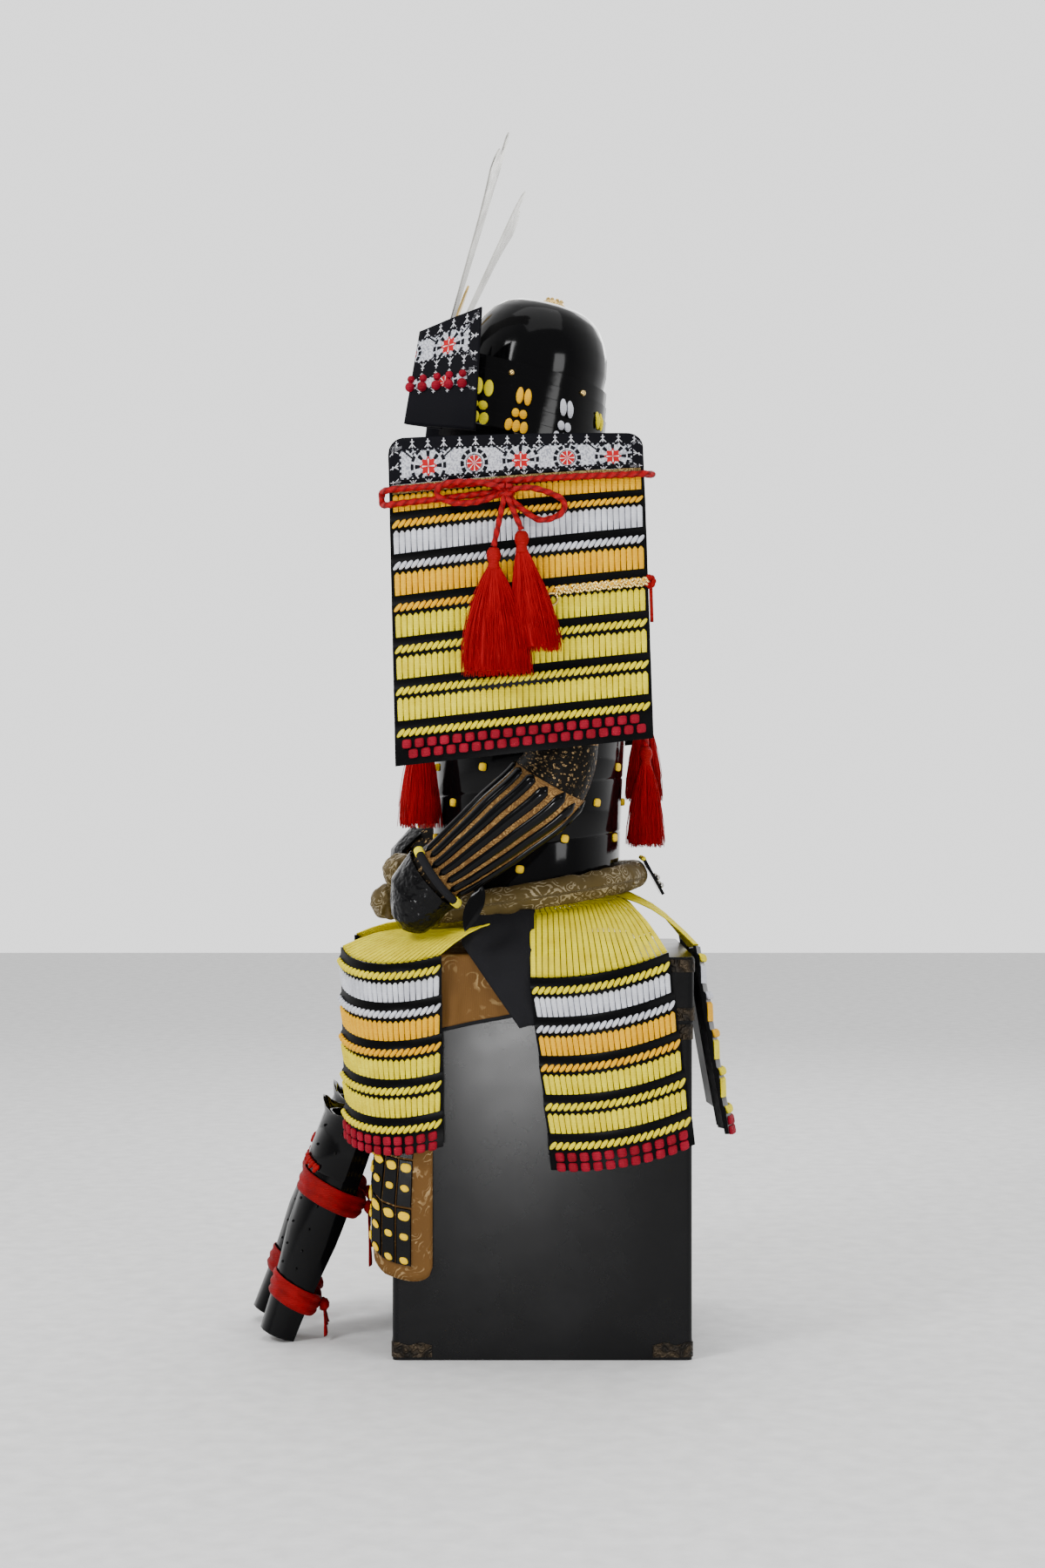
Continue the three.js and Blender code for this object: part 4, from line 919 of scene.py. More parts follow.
def lifted(row, i):
    """The right forearm lies a little higher and further forward."""
    share = clamp((i - ELBOW + 1) / (WRIST - ELBOW + 1))
    return (row[0], row[1] - 20 * share, row[2] + 24 * share, row[3], row[4])


def sleeve_dent(angle, at):
    dent = 0.7 + 0.7 * ripple(cos(angle) * 3, sin(angle) * 3, at * 2.2, 1.0, 4.0)
    for place, middle, depth, half in CREASES:
        turn = abs((degrees(angle) - middle + 180) % 360 - 180)
        near = (at - place - 0.0016 * turn) / 0.13
        dent += depth * exp(-near * near) * (1 - ease(turn, 0.3 * half, half))
    return dent


for side, sign in SIDES:
    rows = ARM if sign > 0 else [lifted(row, i) for i, row in enumerate(ARM)]

    def arm(at, angle, out):
        return to(sign, arm_point(rows, angle, at, out))

    def on_arm(at, across, out):
        spread = lerp(92, 60, (at - ELBOW) / 2.5)
        return arm(at, rad(90 + spread * across), GAP + 1 + out)

    def arc(low, high):
        return [arm(7.5, rad(a), 9.5) for a in steps(low, high, 8)]

    points, faces, maps, own = shell(lambda at, angle, out: arm(at, angle, out - sleeve_dent(angle, at)),
                                     steps(0, WRIST, 128), circle(64), 1.2, True)
    picks = []
    for f in faces:
        at = sum(own[i][0] for i in f) / len(f)
        picks.append(1 if 4.25 < at < 5.35 or at > 7.35 else 0)
    sleeve = piece("sleeve_cloth_" + side, points, faces, [BROCADE, MAIL], "brocade", maps, picks=picks,
                   replaces=["sleeve_" + side])
    wall("splint_backing_" + side, on_arm, steps(5, 7.5, 40), steps(-0.96, 0.96, 56), 0.9, SPLINT_BROCADE,
         "brocade")
    heap = Heap()
    for k in range(SPLINTS):
        middle = (2 * k - SPLINTS + 1) / SPLINTS
        first, last = 5.0 + 0.05 * (k % 2), 7.46 - 0.04 * ((k + 1) % 3)
        rods = []
        for at in steps(first, last, 26):
            end = min(1, sqrt(clamp(min(at - first, last - at) / 0.1 + 0.04)))
            rods += [on_arm(at, middle + 0.097 * end * cos(a), 0.3 + 4.1 * sin(a) * end) for a in steps(0, pi, 8)]
        faces = grid_faces(27, 9, 0, False)
        faces += [tuple(range(9))[::-1], tuple(range(26 * 9, 27 * 9))]
        heap.add(rods, faces)
    heap.make("splint_plates_" + side, [BLACK], "black_lacquer", ["splints_" + side])

    # A strap over the forearm with yellow bindings, and a leaf-shaped tab below the wrist
    heap = Heap()
    for low, high, radius, pick in ((35, 150, 5.2, 0), (36, 46, 6.2, 1), (137, 148, 6.2, 1)):
        heap.add(*tube(arc(low, high), radius, 12), pick)
    leaf = []
    root = arm_point(rows, rad(128), 7.1, 4)
    for t in steps(0, 1, 12):
        wide = 11.5 * sin(pi * t) ** 0.75 * (1.15 - 0.3 * t)
        for x in steps(-1, 1, 4):
            out = 2.4 * (1 - x * x)
            leaf.append((sign * (root.x + 1 + out + 5 * t), root.y + 19 - 21 * t + wide * x, root.z - 2 - 58 * t))
    faces = grid_faces(13, 5) + grid_faces(13, 5, len(leaf), False, True)
    heap.add(leaf + [(x - sign * 2.2, y, z) for x, y, z in leaf], faces, None, 2)
    heap.make("wrist_fittings_" + side, [BLACK_CLOTH, YELLOW, BLACK], "black_lacquer")

# Padded waist roll with its knot

# Place, depth, width and slant of each crease
CREASE_RANGES = ((0, 2 * pi), (0.8, 2.6), (3, 8), (-0.5, 0.5))
ROLL_CREASES = [[random.Random(k + 90 * i).uniform(*limits) for i, limits in enumerate(CREASE_RANGES)]
                for k in range(64)]


def roll_dent(angle, round_at):
    dent = 0.0
    for place, depth, width, slant in ROLL_CREASES:
        turn = (angle - place - slant * sin(round_at) * 0.16 + pi) % (2 * pi) - pi
        near = turn * 150 / width
        if abs(near) < 3:
            dent += depth * exp(-near * near) * (0.6 + 0.4 * cos(round_at - 7 * place))
    x, y = cos(round_at), sin(round_at)
    return dent + 1.3 + 1.3 * ripple(angle * 6, x * 1.3, y * 1.3, 1.0, 2.0)


ring, around = circle(30), circle(420)
heap = Heap()
points, maps = [], []
for angle in around:
    for a in ring:
        r = ROLL_RADIUS - 0.85 * roll_dent(angle, a)
        points.append(tuple(roll_point(angle, r * cos(a), r * sin(a))))
        maps.append((angle * 155, a * 19))
faces = grid_faces(len(around), len(ring), 0, True, True)
last = len(points) - len(ring)
for j in range(len(ring)):
    k = (j + 1) % len(ring)
    faces.append((last + k, last + j, j, k))
heap.add(points, faces, maps)
front = roll_point(0, ROLL_RADIUS, 0)


def knot_lobe(centre, size, seed, folds):
    """A stuffed lobe of the knot with folds that gather towards its middle."""
    points, faces, maps = ball(centre, size, 72, 40)
    moved = []
    for p in points:
        d = Vector([(p[c] - centre[c]) / size[c] for c in range(3)])
        turn = atan2(d.z, d.y)
        fold = sin(folds * turn + 3 * ripple(d.x, d.y, d.z, 0.8, seed)) * (0.35 + 0.65 * abs(d.x))
        crumple = ripple(d.x, d.y, d.z, 0.33, seed + 5)
        k = 1 - 0.045 + 0.045 * fold + 0.06 * crumple - 0.03
        moved.append(tuple(centre[c] + size[c] * d[c] * k for c in range(3)))
    return moved, faces, maps


for centre, size, seed, folds in (
    ((10, front.y - 2, front.z + 52), (46, 26, 26), 1.0, 7),
    ((-6, front.y - 18, front.z + 11), (42, 27, 26), 2.0, 8),
    ((0, front.y - 4, front.z + 28), (26, 20, 20), 3.0, 5),
):
    heap.add(*knot_lobe(centre, size, seed, folds))
roll = heap.make("waist_roll_cloth", [ROLL_BROCADE], "roll_brocade", ["waist_roll"])

# Holder at the back of the waist: a braid along its top and two metal knots
rear = roll_point(pi, ROLL_RADIUS, 0)
heap = Heap()
for k in range(15):
    x = lerp(-40, 40, k / 14)
    heap.add(*lump(lambda u, v, h: (u, rear.y - 8 + h, rear.z + 21 - v), x, 0, 0, (3.4, 3.0, 3.6), 0.5))
for x in (-38, 30):
    for down in (6, 16):
        heap.add(*ball((x, rear.y + 8 + 0.5 * down, rear.z + 2 - down), (4.5, 3.4, 4), 10, 8)[:2], pick=1)
heap.make("waist_holder_trim", [YELLOW, SILVER], "yellow_lacing")

# Yellow knots on the cuirass, in staggered rows

KNOT_HEIGHTS = (617, 656, 702, 748, 794, 840, 886, 930)
heap = Heap()
for row, z in enumerate(KNOT_HEIGHTS):
    for k in range(8):
        angle = rad(45 * k + (20 if row % 2 else -2.5))
        p = torso(angle, z, 1.2)
        if z < waist_height(p.y) + 26:
            continue
        away = (torso(angle, z, 2) - torso(angle, z, 0)).normalized()
        across = Vector((-away.y, away.x, 0))
        heap.add(*lump(lambda u, v, h: tuple(p + across * u + away * h + Vector((0, 0, -v))), 0, 0, 0.6,
                       (5.4, 5.2, 3.4), random.uniform(-0.2, 0.2), 8, 14, 0.6))
heap.make("cuirass_knots", [KNOT_GOLD], "yellow_lacing")

# Thigh guards: brocade over the lid with a black edge and strap, and plated panels that hang round the corners

EDGE = LID_HALF_WIDTH + GAP + CLOTH / 2
APRON_TOP = LID_TOP + GAP + CLOTH / 2
APRON_HALF = [(EDGE + 5, -92), (EDGE + 3, -60), (EDGE + 1.5, -25), (EDGE + 1, -2), (EDGE - 2, 1.6), (150, 0.4),
              (60, 1)]
APRON_LINE = APRON_HALF + [(-x, z) for x, z in reversed(APRON_HALF)]
APRON_PATH = []
for (x0, z0), (x1, z1) in zip(APRON_LINE, APRON_LINE[1:]):
    count = max(2, int(hypot(x1 - x0, z1 - z0) / 5))
    APRON_PATH += [(lerp(x0, x1, i / count), lerp(z0, z1, i / count)) for i in range(count)]
APRON_PATH.append(APRON_LINE[-1])


def apron_point(s, u, out):
    """s runs over the path's points and u from the front edge to the rear one."""
    i = min(int(s), len(APRON_PATH) - 2)
    x, z = (lerp(APRON_PATH[i][c], APRON_PATH[i + 1][c], s - i) for c in (0, 1))
    low, high = APRON_PATH[max(0, i - 1)], APRON_PATH[min(len(APRON_PATH) - 1, i + 2)]
    along = Vector((high[0] - low[0], high[1] - low[1])).normalized()
    x, z = x - along.y * out, z + along.x * out
    drop = clamp(-z / 92)
    wave = drop * 4 * (1 + sin(9 * u)) * copysign(1, x)
    y = lerp(-134, -56, u) + 35 * ease(abs(x), 120, 206) * ease(u, 0, 1) + 4 * drop
    return (x + wave, y, APRON_TOP + z * (1 - 0.26 * u * drop))


def apron_cloth(s, u, out):
    x, z = APRON_PATH[min(int(s), len(APRON_PATH) - 1)]
    drop = clamp(-z / 92)
    fold = 1.6 * drop * (sin(17 * u + 2 * drop) + 0.6 * sin(31 * u - 3 * drop + 1))
    fold += 2.2 * drop * exp(-(((u - 0.55 + 0.35 * drop) / 0.05) ** 2))
    return apron_point(s, u, CLOTH / 2 + out + max(-0.8, fold))


count = len(APRON_PATH) - 1
points, faces, maps, _ = shell(apron_cloth, range(count + 1), steps(0, 1, 44), 1.3)
apron = piece("apron_cloth", points, faces, BROCADE, "brocade", [(v, u) for u, v in maps],
              replaces=["thigh_apron"])
heap = Heap()
for sign in (1, -1):
    first = 0 if sign > 0 else count
    rim = [apron_cloth(first, u, 0.4) for u in steps(0, 1, 20)]
    heap.add(*tube([(x + sign * 0.6, y, z - 1) for x, y, z in rim], 2.6, 8))
    for u in (0, 1):
        heap.add(*tube([apron_cloth(abs(first - i), u, 0.2) for i in range(22)], 2.2, 8))
heap.make("apron_edging", [BLACK_CLOTH], "black_lacquer")


def hanging(v, u, out):
    """A strap from under the waist roll to the rear end of the brocade."""
    upper = (168, -94 + 84 * u, 574)
    middle = (200, -102 + 92 * u, 526)
    if v < 1:
        x, y, z = (lerp(a, b, v) for a, b in zip(upper, middle))
    else:
        across = 0.87 + 0.24 * u
        low = apron_point(0, min(1, across), CLOTH / 2)
        low = (low[0], low[1] + 78 * max(0, across - 1), low[2] - 17)
        x, y, z = (lerp(a, b, v - 1) for a, b in zip(middle, low))
        x += 13 * sin(pi * min(v - 1, 0.8)) ** 0.45
    return (x + out, y, z + 0.7 * out)


for side, sign in SIDES:
    strap = wall("apron_strap_" + side, on(sign, hanging), steps(0, 2, 24), steps(0, 1, 6), 1.4, BLACK_CLOTH,
                 "black_lacquer")

SPINE = [(22, -196), (70, -197), (120, -198), (160, -197.5), (188, -197), (202, -193.5), (208.5, -183),
         (209, -160), (209, -138)]
SPINE_STEPS = 120
SPINE_LINE, SPINE_LENGTH = curve([(x, y, 0) for x, y in SPINE], SPINE_STEPS, 0.42)


def spine_place(s):
    """The place on the panel's spine, its outward direction and its row number, s in millimetres."""
    t = clamp(s / SPINE_LENGTH) * SPINE_STEPS
    i = min(int(t), SPINE_STEPS - 1)
    p = SPINE_LINE[i].lerp(SPINE_LINE[i + 1], t - i)
    along = (SPINE_LINE[min(i + 2, SPINE_STEPS)] - SPINE_LINE[max(i - 1, 0)]).normalized()
    row = min(range(9), key=lambda k: (p.x - SPINE[k][0]) ** 2 + (p.y - SPINE[k][1]) ** 2)
    for k in (row - 1, row):
        if 0 <= k < 8:
            a, b = Vector(SPINE[k]), Vector(SPINE[k + 1])
            share = (p.xy - a).dot(b - a) / (b - a).length_squared
            if 0 <= share <= 1:
                row = k + share
                break
    return p, Vector((along.y, -along.x, 0)), row


def panel_point(s, v, h):
    p, outward, row = spine_place(s)
    turn = ease(row, 2, 8)
    end = min(s, SPINE_LENGTH - s)
    foot = lerp(150, 97, turn) + 22 * (1 - sqrt(clamp(end / 26) * (2 - clamp(end / 26))))
    belly = 15 * ease(v, 0.35, 0.8) * ease(row, 2, 4) * (1 - ease(row, 6, 8))
    return (p.x + outward.x * h, p.y + outward.y * h - belly, lerp(505, foot, v))


PLATE = 14.2
PLATE_ROWS = [(8 + row * 59, 58 if row < 5 else 70) for row in range(6)]
BLOCK = [(0, 1, 3, 2), (4, 6, 7, 5), (0, 4, 5, 1), (2, 3, 7, 6), (0, 2, 6, 4), (1, 5, 7, 3)]
for side, sign in SIDES:
    cloth = wall("thigh_cloth_" + side, on(sign, lambda v, s, out: panel_point(s, v, 1.5 + out)), steps(0, 1, 48),
                 steps(0, SPINE_LENGTH, 64), 2.6, PANEL_BROCADE, "brocade", replaces=["thigh_panel_" + side])
    spot = on(sign, lambda s, v, h: panel_point(s, clamp(v / 390, 0, 1), h))
    heap = Heap()
    for k in range(14):
        left = 20 + k * PLATE
        for top, deep in PLATE_ROWS:
            corners = []
            for h, inset in ((2.0, 0), (4.4, 0.9)):
                for dv in (inset, deep - 1 - inset):
                    for ds in (inset, PLATE - 0.8 - inset):
                        corners.append(spot(left + ds, top + dv, h + (0.8 if dv > 5 else 0)))
            heap.add(corners, BLOCK)
            for down, size in ((9, (5.0, 5.6, 2.8)), (34, (3.7, 4.2, 2.4)), (63, (3.7, 4.2, 2.4))):
                if down < deep - 5:
                    turn = random.uniform(-0.5, 0.5)
                    heap.add(*lump(spot, left + PLATE / 2, top + down, 5.0, size, turn, 6, 10, 0.8), pick=1)
    heap.make("thigh_plates_" + side, [BLACK, KNOT_GOLD], "black_lacquer", smooth=False)

# Shin guards: knots and rivets, and red ties

SHIN = [(-40, 50, 40), (0, 50, 40), (80, 51, 43), (160, 46, 41), (230, 37, 32), (300, 34, 28)]
SHIN_TOP = (71, 288)
SHINS = {"left": (-239.8, -344), "right": (-239, -368)}

for side, sign in SIDES:
    top_y, foot_y = SHINS[side]
    top = Vector((SHIN_TOP[0], top_y, SHIN_TOP[1]))
    along = (Vector((-6, foot_y, 2)) - Vector((0, top_y, SHIN_TOP[1]))).normalized()
    front_way = along.cross(Vector((1, 0, 0))).normalized()
    side_way = front_way.cross(along).normalized()

    def shin(angle, down, out):
        deep, wide = (read(SHIN, column, down) + out for column in (2, 1))
        return to(sign, top + along * down + front_way * (deep * cos(angle)) + side_way * (wide * sin(angle)))

    heap = Heap()
    for angle in (-52, -40, -28, -16, 16, 28, 40, 52):

        def spot(u, v, h):
            return shin(rad(angle) + u / 50, v + 0.16 * abs(angle), GAP + 4.5 + h)

        for u, v in ((-2.3, 0), (2.3, 0.6), (0, 4.4)):
            heap.add(*lump(spot, u, 62 + v, 0.6, (3.4, 4.2, 2.8), 0.3, 5, 8))
    for angle in (-34, 34, -75, 75):
        for down, out in ((18, 5), (44, 4.5), (118, 0), (150, 0), (180, 0), (205, 0)):
            heap.add(*ball(shin(rad(angle), down, out + 0.2), (1.9, 1.9, 1.9), 8, 6)[:2], pick=1)
    heap.make("shin_trim_" + side, [RED, BLACK], "red_silk")

    for name, down, fall, flat_length in (("knee_tie_", 86, 72, 0.42), ("ankle_tie_", 226, 36, 0.30)):
        heap = Heap()
        seed = down * 0.1 + sign

        def band(v, angle, out):
            fold = 0.8 * sin(v * 0.55 + 1.3 * sin(2 * angle + seed)) + 0.5 * ripple(angle * 3, v / 9, seed, 1.0)
            tuck = 5 * exp(-(((angle - pi) / 0.3) ** 2)) * (v - 15) / 15
            rounding = 1.3 * (1 - ((v - 15) / 15) ** 2)
            return shin(angle, down + v - tuck - 6 * cos(angle), GAP + 2.4 + rounding + fold + out)

        heap.add(*shell(band, steps(0, 30, 16), circle(72), 1.4, True)[:3])
        root = Vector(shin(pi, down + 20, GAP + 5))
        heap.add(*ball(tuple(root + Vector((0, 5, 0))), (9, 6.5, 9), 18, 12, 0.25, seed))
        for hand, length in ((-1, 0.7 * fall), (1, fall)):

            def end(t, u, out):
                wide = lerp(5, 11, t**0.7) * u
                wave = 1.6 * sin(7 * u + 3 * t + hand)
                x = root.x + sign * hand * (2 + 10 * t) + wide
                return (x, root.y + 5 + 4 * t + wave * t + out, root.z - length * t - 2 * u * u)

            heap.add(*shell(end, steps(0, 1, 12), steps(-1, 1, 8), 1.4)[:3])
        tie = heap.make(name + "cloth_" + side, [TIE_RED], "red_silk", [name + side])

# Red cords and tassels

CORD_RADIUS = 4
# Name, y of the head, z, length, radius, slack, squash and how far the foot leans to the rear
GUARD_TASSELS = [("front", -60, 1014, 162, 43, 0.6, 0.42, 4), ("rear", -26, 1034, 152, 28, 1, 0.5, 20)]


TASSEL_HEAD = [(1.5, 0), (5.5, -1), (8, -4.5), (9.2, -10), (8, -15), (6.4, -18), (6.8, -21), (7.6, -25), (6, -27)]


def hang_tassel(heap, top, length, radius, squash, strands, seed, sign=1, lean=0.0):
    """A silk tassel of fine strands below a wrapped head; its foot may stand a little to the rear of the head."""
    rng = random.Random(seed)
    narrow = max(squash, 0.8)

    def place(x, y, z):
        return (sign * (top[0] + x), top[1] + y, top[2] + z)

    points = [place(r * narrow * cos(a), r * sin(a), z) for r, z in TASSEL_HEAD for a in circle(20)]
    heap.add(points, grid_faces(len(TASSEL_HEAD), 20, 0, True, sign < 0), [(20 * p[1], p[2]) for p in points], 1)
    points = []
    for t in steps(0, 0.93, 16):
        r = lerp(5.5, radius, sin(pi / 2 * t) ** 0.9)
        for a in circle(40):
            k = r * (0.84 + 0.05 * sin(9 * a + seed + 2 * t) + 0.05 * ripple(a * 4, t * 2, seed, 1.0))
            points.append(place(k * squash * cos(a), lean * t + k * sin(a), -24 - (length - 26) * t))
    foot = tuple(range(16 * 40, 17 * 40))
    heap.add(points, grid_faces(17, 40, 0, True, sign < 0) + [foot if sign < 0 else foot[::-1]])
    for _ in range(strands):
        reach = sqrt(rng.uniform(0.25, 1.06))
        turn = rng.uniform(0, 2 * pi)
        fall = (length - 26) * (rng.uniform(0.9, 1.0) if rng.random() > 0.1 else rng.uniform(0.72, 0.92))
        drift, curl, stray = rng.uniform(-0.2, 0.2), rng.uniform(0, 6.3), rng.gauss(0, 1.2)
        points = []
        for t in (0, 0.14, 0.32, 0.55, 0.78, 1):
            r = lerp(6 * reach**0.5, radius * reach, sin(pi / 2 * t) ** 0.9)
            r += 0.7 * sin(7 * t + curl) * t
            a = turn + drift * t + 0.03 * sin(9 * t + curl)
            x, y = r * cos(a) * squash, r * sin(a) + stray * t * t + lean * t
            thick = lerp(0.62, 0.42, t)
            points += [place(x + thick * cos(c), y + thick * sin(c), -22 - fall * t) for c in (0.3, 2.4, 4.5)]
        heap.add(points, grid_faces(6, 3, 0, True, sign < 0) + [(15, 16, 17)])


def lay_cord(heap, line, thinner=0.0):
    heap.add(*tube(line, CORD_RADIUS - thinner + 0.5, 12, False, 2.0, 0.1, 14.0), pick=1)

face = 7 + GAP + CORD_RADIUS
BELT = [(1.062, 11, -3), (1.02, 11, face - 1), (0.9, 11, face), (0.3, 9, face), (-0.3, 8, face), (-0.9, 6, face),
        (-1.01, 6, face - 1), (-1.055, 8, 2), (-1.055, 21, 2), (-1.01, 24, face - 1), (-0.9, 24, face),
        (-0.09, 22, face + 1)]
SHOULDER = [(113, 38, 1133), (146, 60, 1137.6), (205, 92, 1128), (252, 116, 1112)]
near = face + 8
FRONT_LOOP = [(-0.09, 20, near), (-0.3, 8, near + 1), (-0.55, 6, near), (-0.62, 18, near), (-0.5, 31, near),
              (-0.3, 33, near + 1), (-0.09, 24, near)]
REAR_LOOP = [(-0.09, 22, near), (0.12, 22, near + 2), (0.34, 40, near), (0.34, 60, near), (0.18, 66, near),
             (0.04, 50, near + 2), (-0.09, 26, near)]

for side, sign in SIDES:
    where = on(sign, guard_point)
    heap = Heap()
    lay_cord(heap, [to(sign, p) for p in SHOULDER] + [where(*row) for row in BELT])
    for loop in (FRONT_LOOP, REAR_LOOP):
        lay_cord(heap, [where(*row) for row in loop], 0.3)
    lead = Vector(guard_point(-0.09, 24, face + 11))
    for _, y, z, _, _, slack, _, _ in GUARD_TASSELS:
        end = Vector((GUARD["x"] + 27, y, z))
        middle = lead.lerp(end, 0.5) + Vector((2, 0, 0))
        lay_cord(heap, [to(sign, p) for p in (lead, middle, end + Vector((0, 0, slack)))], 0.6)
    knot = Vector(where(-0.09, 22, face + 4))
    wrap = [knot + Vector((sign * 8.5 * cos(a), 8.5 * sin(a), 5 * cos(a / 2))) for a in steps(0, 4 * pi, 16)]
    lay_cord(heap, wrap, 0.4)
    heap.add(*ball(tuple(knot), (8, 8, 8), 14, 10), pick=1)
    heap.make("guard_cord_twist_" + side, [RED_STRANDS, RED_CORD], "red_silk", ["guard_cord_" + side])
    for name, y, z, length, radius, _, squash, lean in GUARD_TASSELS:
        heap = Heap()
        hang_tassel(heap, (GUARD["x"] + 27, y, z), length, radius, squash, 700, length + sign, sign, lean)
        heap.make("guard_tassel_silk_" + side + "_" + name, [RED_STRANDS, RED], "red_silk",
                  ["guard_tassel_" + side + "_" + name])

heap = Heap()
lay_cord(heap, [(92, -134, 1012), (92, -140, 960), (92, -147, 890), (92, -157, 838), (92, -158, 806)])
hang_tassel(heap, (92, -158, 818), 154, 27, 1, 560, 5)
heap.make("chest_tassel_silk", [RED_STRANDS, RED_CORD], "red_silk", ["chest_tassel"])

y = 125.2
heap = Heap()
lay_cord(heap, [(0, y - 8.6, 1050), (0, y - 2.5, 1000), (0, y, 935)], -1)
for sign in (1, -1):
    lay_cord(heap, [(0, y, 934), (sign * 30, y + 2, 962), (sign * 62, y + 4, 946), (sign * 60, y + 4, 916),
                    (sign * 28, y + 2, 914), (0, y, 930)])
lay_cord(heap, [(0, y + 4, 930), (14, y + 8, 880), (28, y + 12, 800), (28, y + 13, 776)])
lay_cord(heap, [(0, y + 4, 930), (-14, y + 8, 890), (-28, y + 12, 850), (-28, y + 13, 836)])
heap.add(*ball((0, y + 2, 930), (15, 8, 14), 18, 12), pick=1)
heap.make("back_bow_twist", [RED_STRANDS, RED_CORD], "red_silk", ["back_bow"])
for side, x, z in (("left", 28, 776), ("right", -28, 836)):
    heap = Heap()
    hang_tassel(heap, (x, y + 13, z - GAP), 138, 24, 1, 520, z)
    heap.make("back_tassel_silk_" + side, [RED_STRANDS, RED], "red_silk", ["back_tassel_" + side])

# Gilt lace, ring and knot on the rear of each guard

for side, sign in SIDES:
    heap = Heap()
    where = on(sign, guard_mm)
    for row in range(3):
        for k in range(34):
            u = 44 + k * 3.35 + (1.6 if row == 1 else 0)
            v = 149.5 + 3.4 * row + 0.8 * sin(1.7 * k)
            h = 8.8 + 1.2 * sin(2.1 * k + row)
            heap.add(*lump(where, u, v, h, (1.9, 2.6, 2.0), 0.7 * (-1) ** k, 4, 6))
    loop = [where(38 + 7.5 * cos(a), 163 + 7.5 * sin(a), 9.5) for a in circle(10)]
    heap.add(*tube(loop, 1.5, 8, True, 1.5), pick=1)
    for k in range(7):
        a = 0.9 * k
        spot = where(159 + 4 * cos(a), 153 + 5 * sin(a), 5 + 2 * sin(3 * a))
        heap.add(*ball(spot, (3.8, 4.2, 4.2), 10, 8), pick=2)
    fall = [where(160, 158 + 9 * k, 3 + sin(k)) for k in range(6)]
    heap.add(*tube(fall, 2.2, 8), pick=2)
    heap.make("guard_lace_" + side, [LACE_GOLD, GOLD, RED], "gold")

# Helmet trim, in the helmet's own frame

HELMET_FRAME = (
    Matrix.Translation((0, HELMET["y"], HELMET["z"]))
    @ Matrix.Rotation(rad(-HELMET["tilt"]), 4, "X")
    @ Matrix.Rotation(rad(-HELMET["yaw"]), 4, "Z")
)


def helm(x, y, z):
    return tuple(HELMET_FRAME @ Vector((x, y, z)))


CORNERS = {"front_top": (-144, 20), "rear_top": (-72, 65), "front_low": (-131, -104), "rear_low": (-40, -94)}
# Fold of a turnback: x, spread below, share of the way to its rear edge
FOLD = [(88.8, 33, 0.5), (90.8, 33, 0.06), (96, 28, 0), (103, 20, 0.04), (112, 16, 0.3), (122, 16, 0.65),
        (128, 16, 1)]
FOLD_STEPS, FOLD_DEPTH = 60, 75
FOLD_LINE, _ = curve([(x, spread, FOLD_DEPTH * share) for x, spread, share in FOLD], FOLD_STEPS, 0.42)
PRINT_FOOT, KNOT_FOOT = 0.46, 0.69


def turnback(v, i, h):
    """i runs from 0 at the inner end of the fold to FOLD_STEPS at the free rear edge."""
    low, high = FOLD_LINE[max(0, i - 1)], FOLD_LINE[min(FOLD_STEPS, i + 1)]
    x, spread, share = FOLD_LINE[i].x, FOLD_LINE[i].y, FOLD_LINE[i].z / FOLD_DEPTH
    ends = [[lerp(CORNERS[f][c], CORNERS[r][c], share) for c in (0, 1)]
            for f, r in (("front_top", "rear_top"), ("front_low", "rear_low"))]
    y, z = (lerp(ends[0][c], ends[1][c], v) for c in (0, 1))
    along = Vector((high.x - low.x, high.z - low.z)).normalized()
    return (x + spread * v + along.y * h, y - along.x * h, z)


for side, sign in SIDES:

    def place(v, i, out, sign=sign):
        x, y, z = turnback(v, i, 4.2 + out)
        return helm(sign * x, y, z)

    rows = steps(0, PRINT_FOOT, 16) + steps(PRINT_FOOT, KNOT_FOOT, 10)[1:] + steps(KNOT_FOOT, 1, 10)[1:]
    points, faces, maps, own = shell(place, rows, range(FOLD_STEPS + 1), 3.9)
    width, height = maps[FOLD_STEPS][0], maps[(FOLD_STEPS + 1) * len(rows) - 1][1]
    edge, moved = [], []
    for (v, i), (a, d) in zip(own, maps):
        sides = min(a, width - a)
        if v <= PRINT_FOOT:
            away, line = min((sides, d), (d, a), ((PRINT_FOOT - v) * height, a))
        elif v <= KNOT_FOOT:
            above, below = v - PRINT_FOOT, KNOT_FOOT - v
            away, line = min((sides, d), (1.7 * above * height, a), (1.7 * below * height, a))
        else:
            away, line = 0.0, a
        edge.append((away, line))
        moved.append((a - 0.7 * width, d - 0.25 * height))
    piece("turnback_leather_" + side, points, faces, LEATHER, "printed_leather", moved, edge,
          replaces=["turnback_" + side])
    heap = Heap()
    for row, size in ((0, 5.0), (1, 6.4)):
        for k in range(7):
            i = int(9 + 7.3 * k)
            v = lerp(PRINT_FOOT, KNOT_FOOT, 0.30 + 0.36 * row)
            heap.add(*ball(place(v, i, 1.6), (size, size, size), 16, 12, 0.05, k), pick=0)
    heap.make("turnback_knots_" + side, [RED_KNOT], "red_silk")


def peak_point(out, angle, h):
    line = [(0, 12), (13, 10), (26, 4), (38, -6)]
    z = read(line, 1, out)
    reach = out * (1 - (abs(angle) / rad(62)) ** 3)
    z -= 6 * (angle / rad(50)) ** 2 * out / 38
    far = GAP + 1 + reach
    x = (HELMET["half_width"] + far) * sin(angle)
    y = -(HELMET["half_length"] + far) * cos(angle)
    return helm(x, y, z + 1.5 + h)


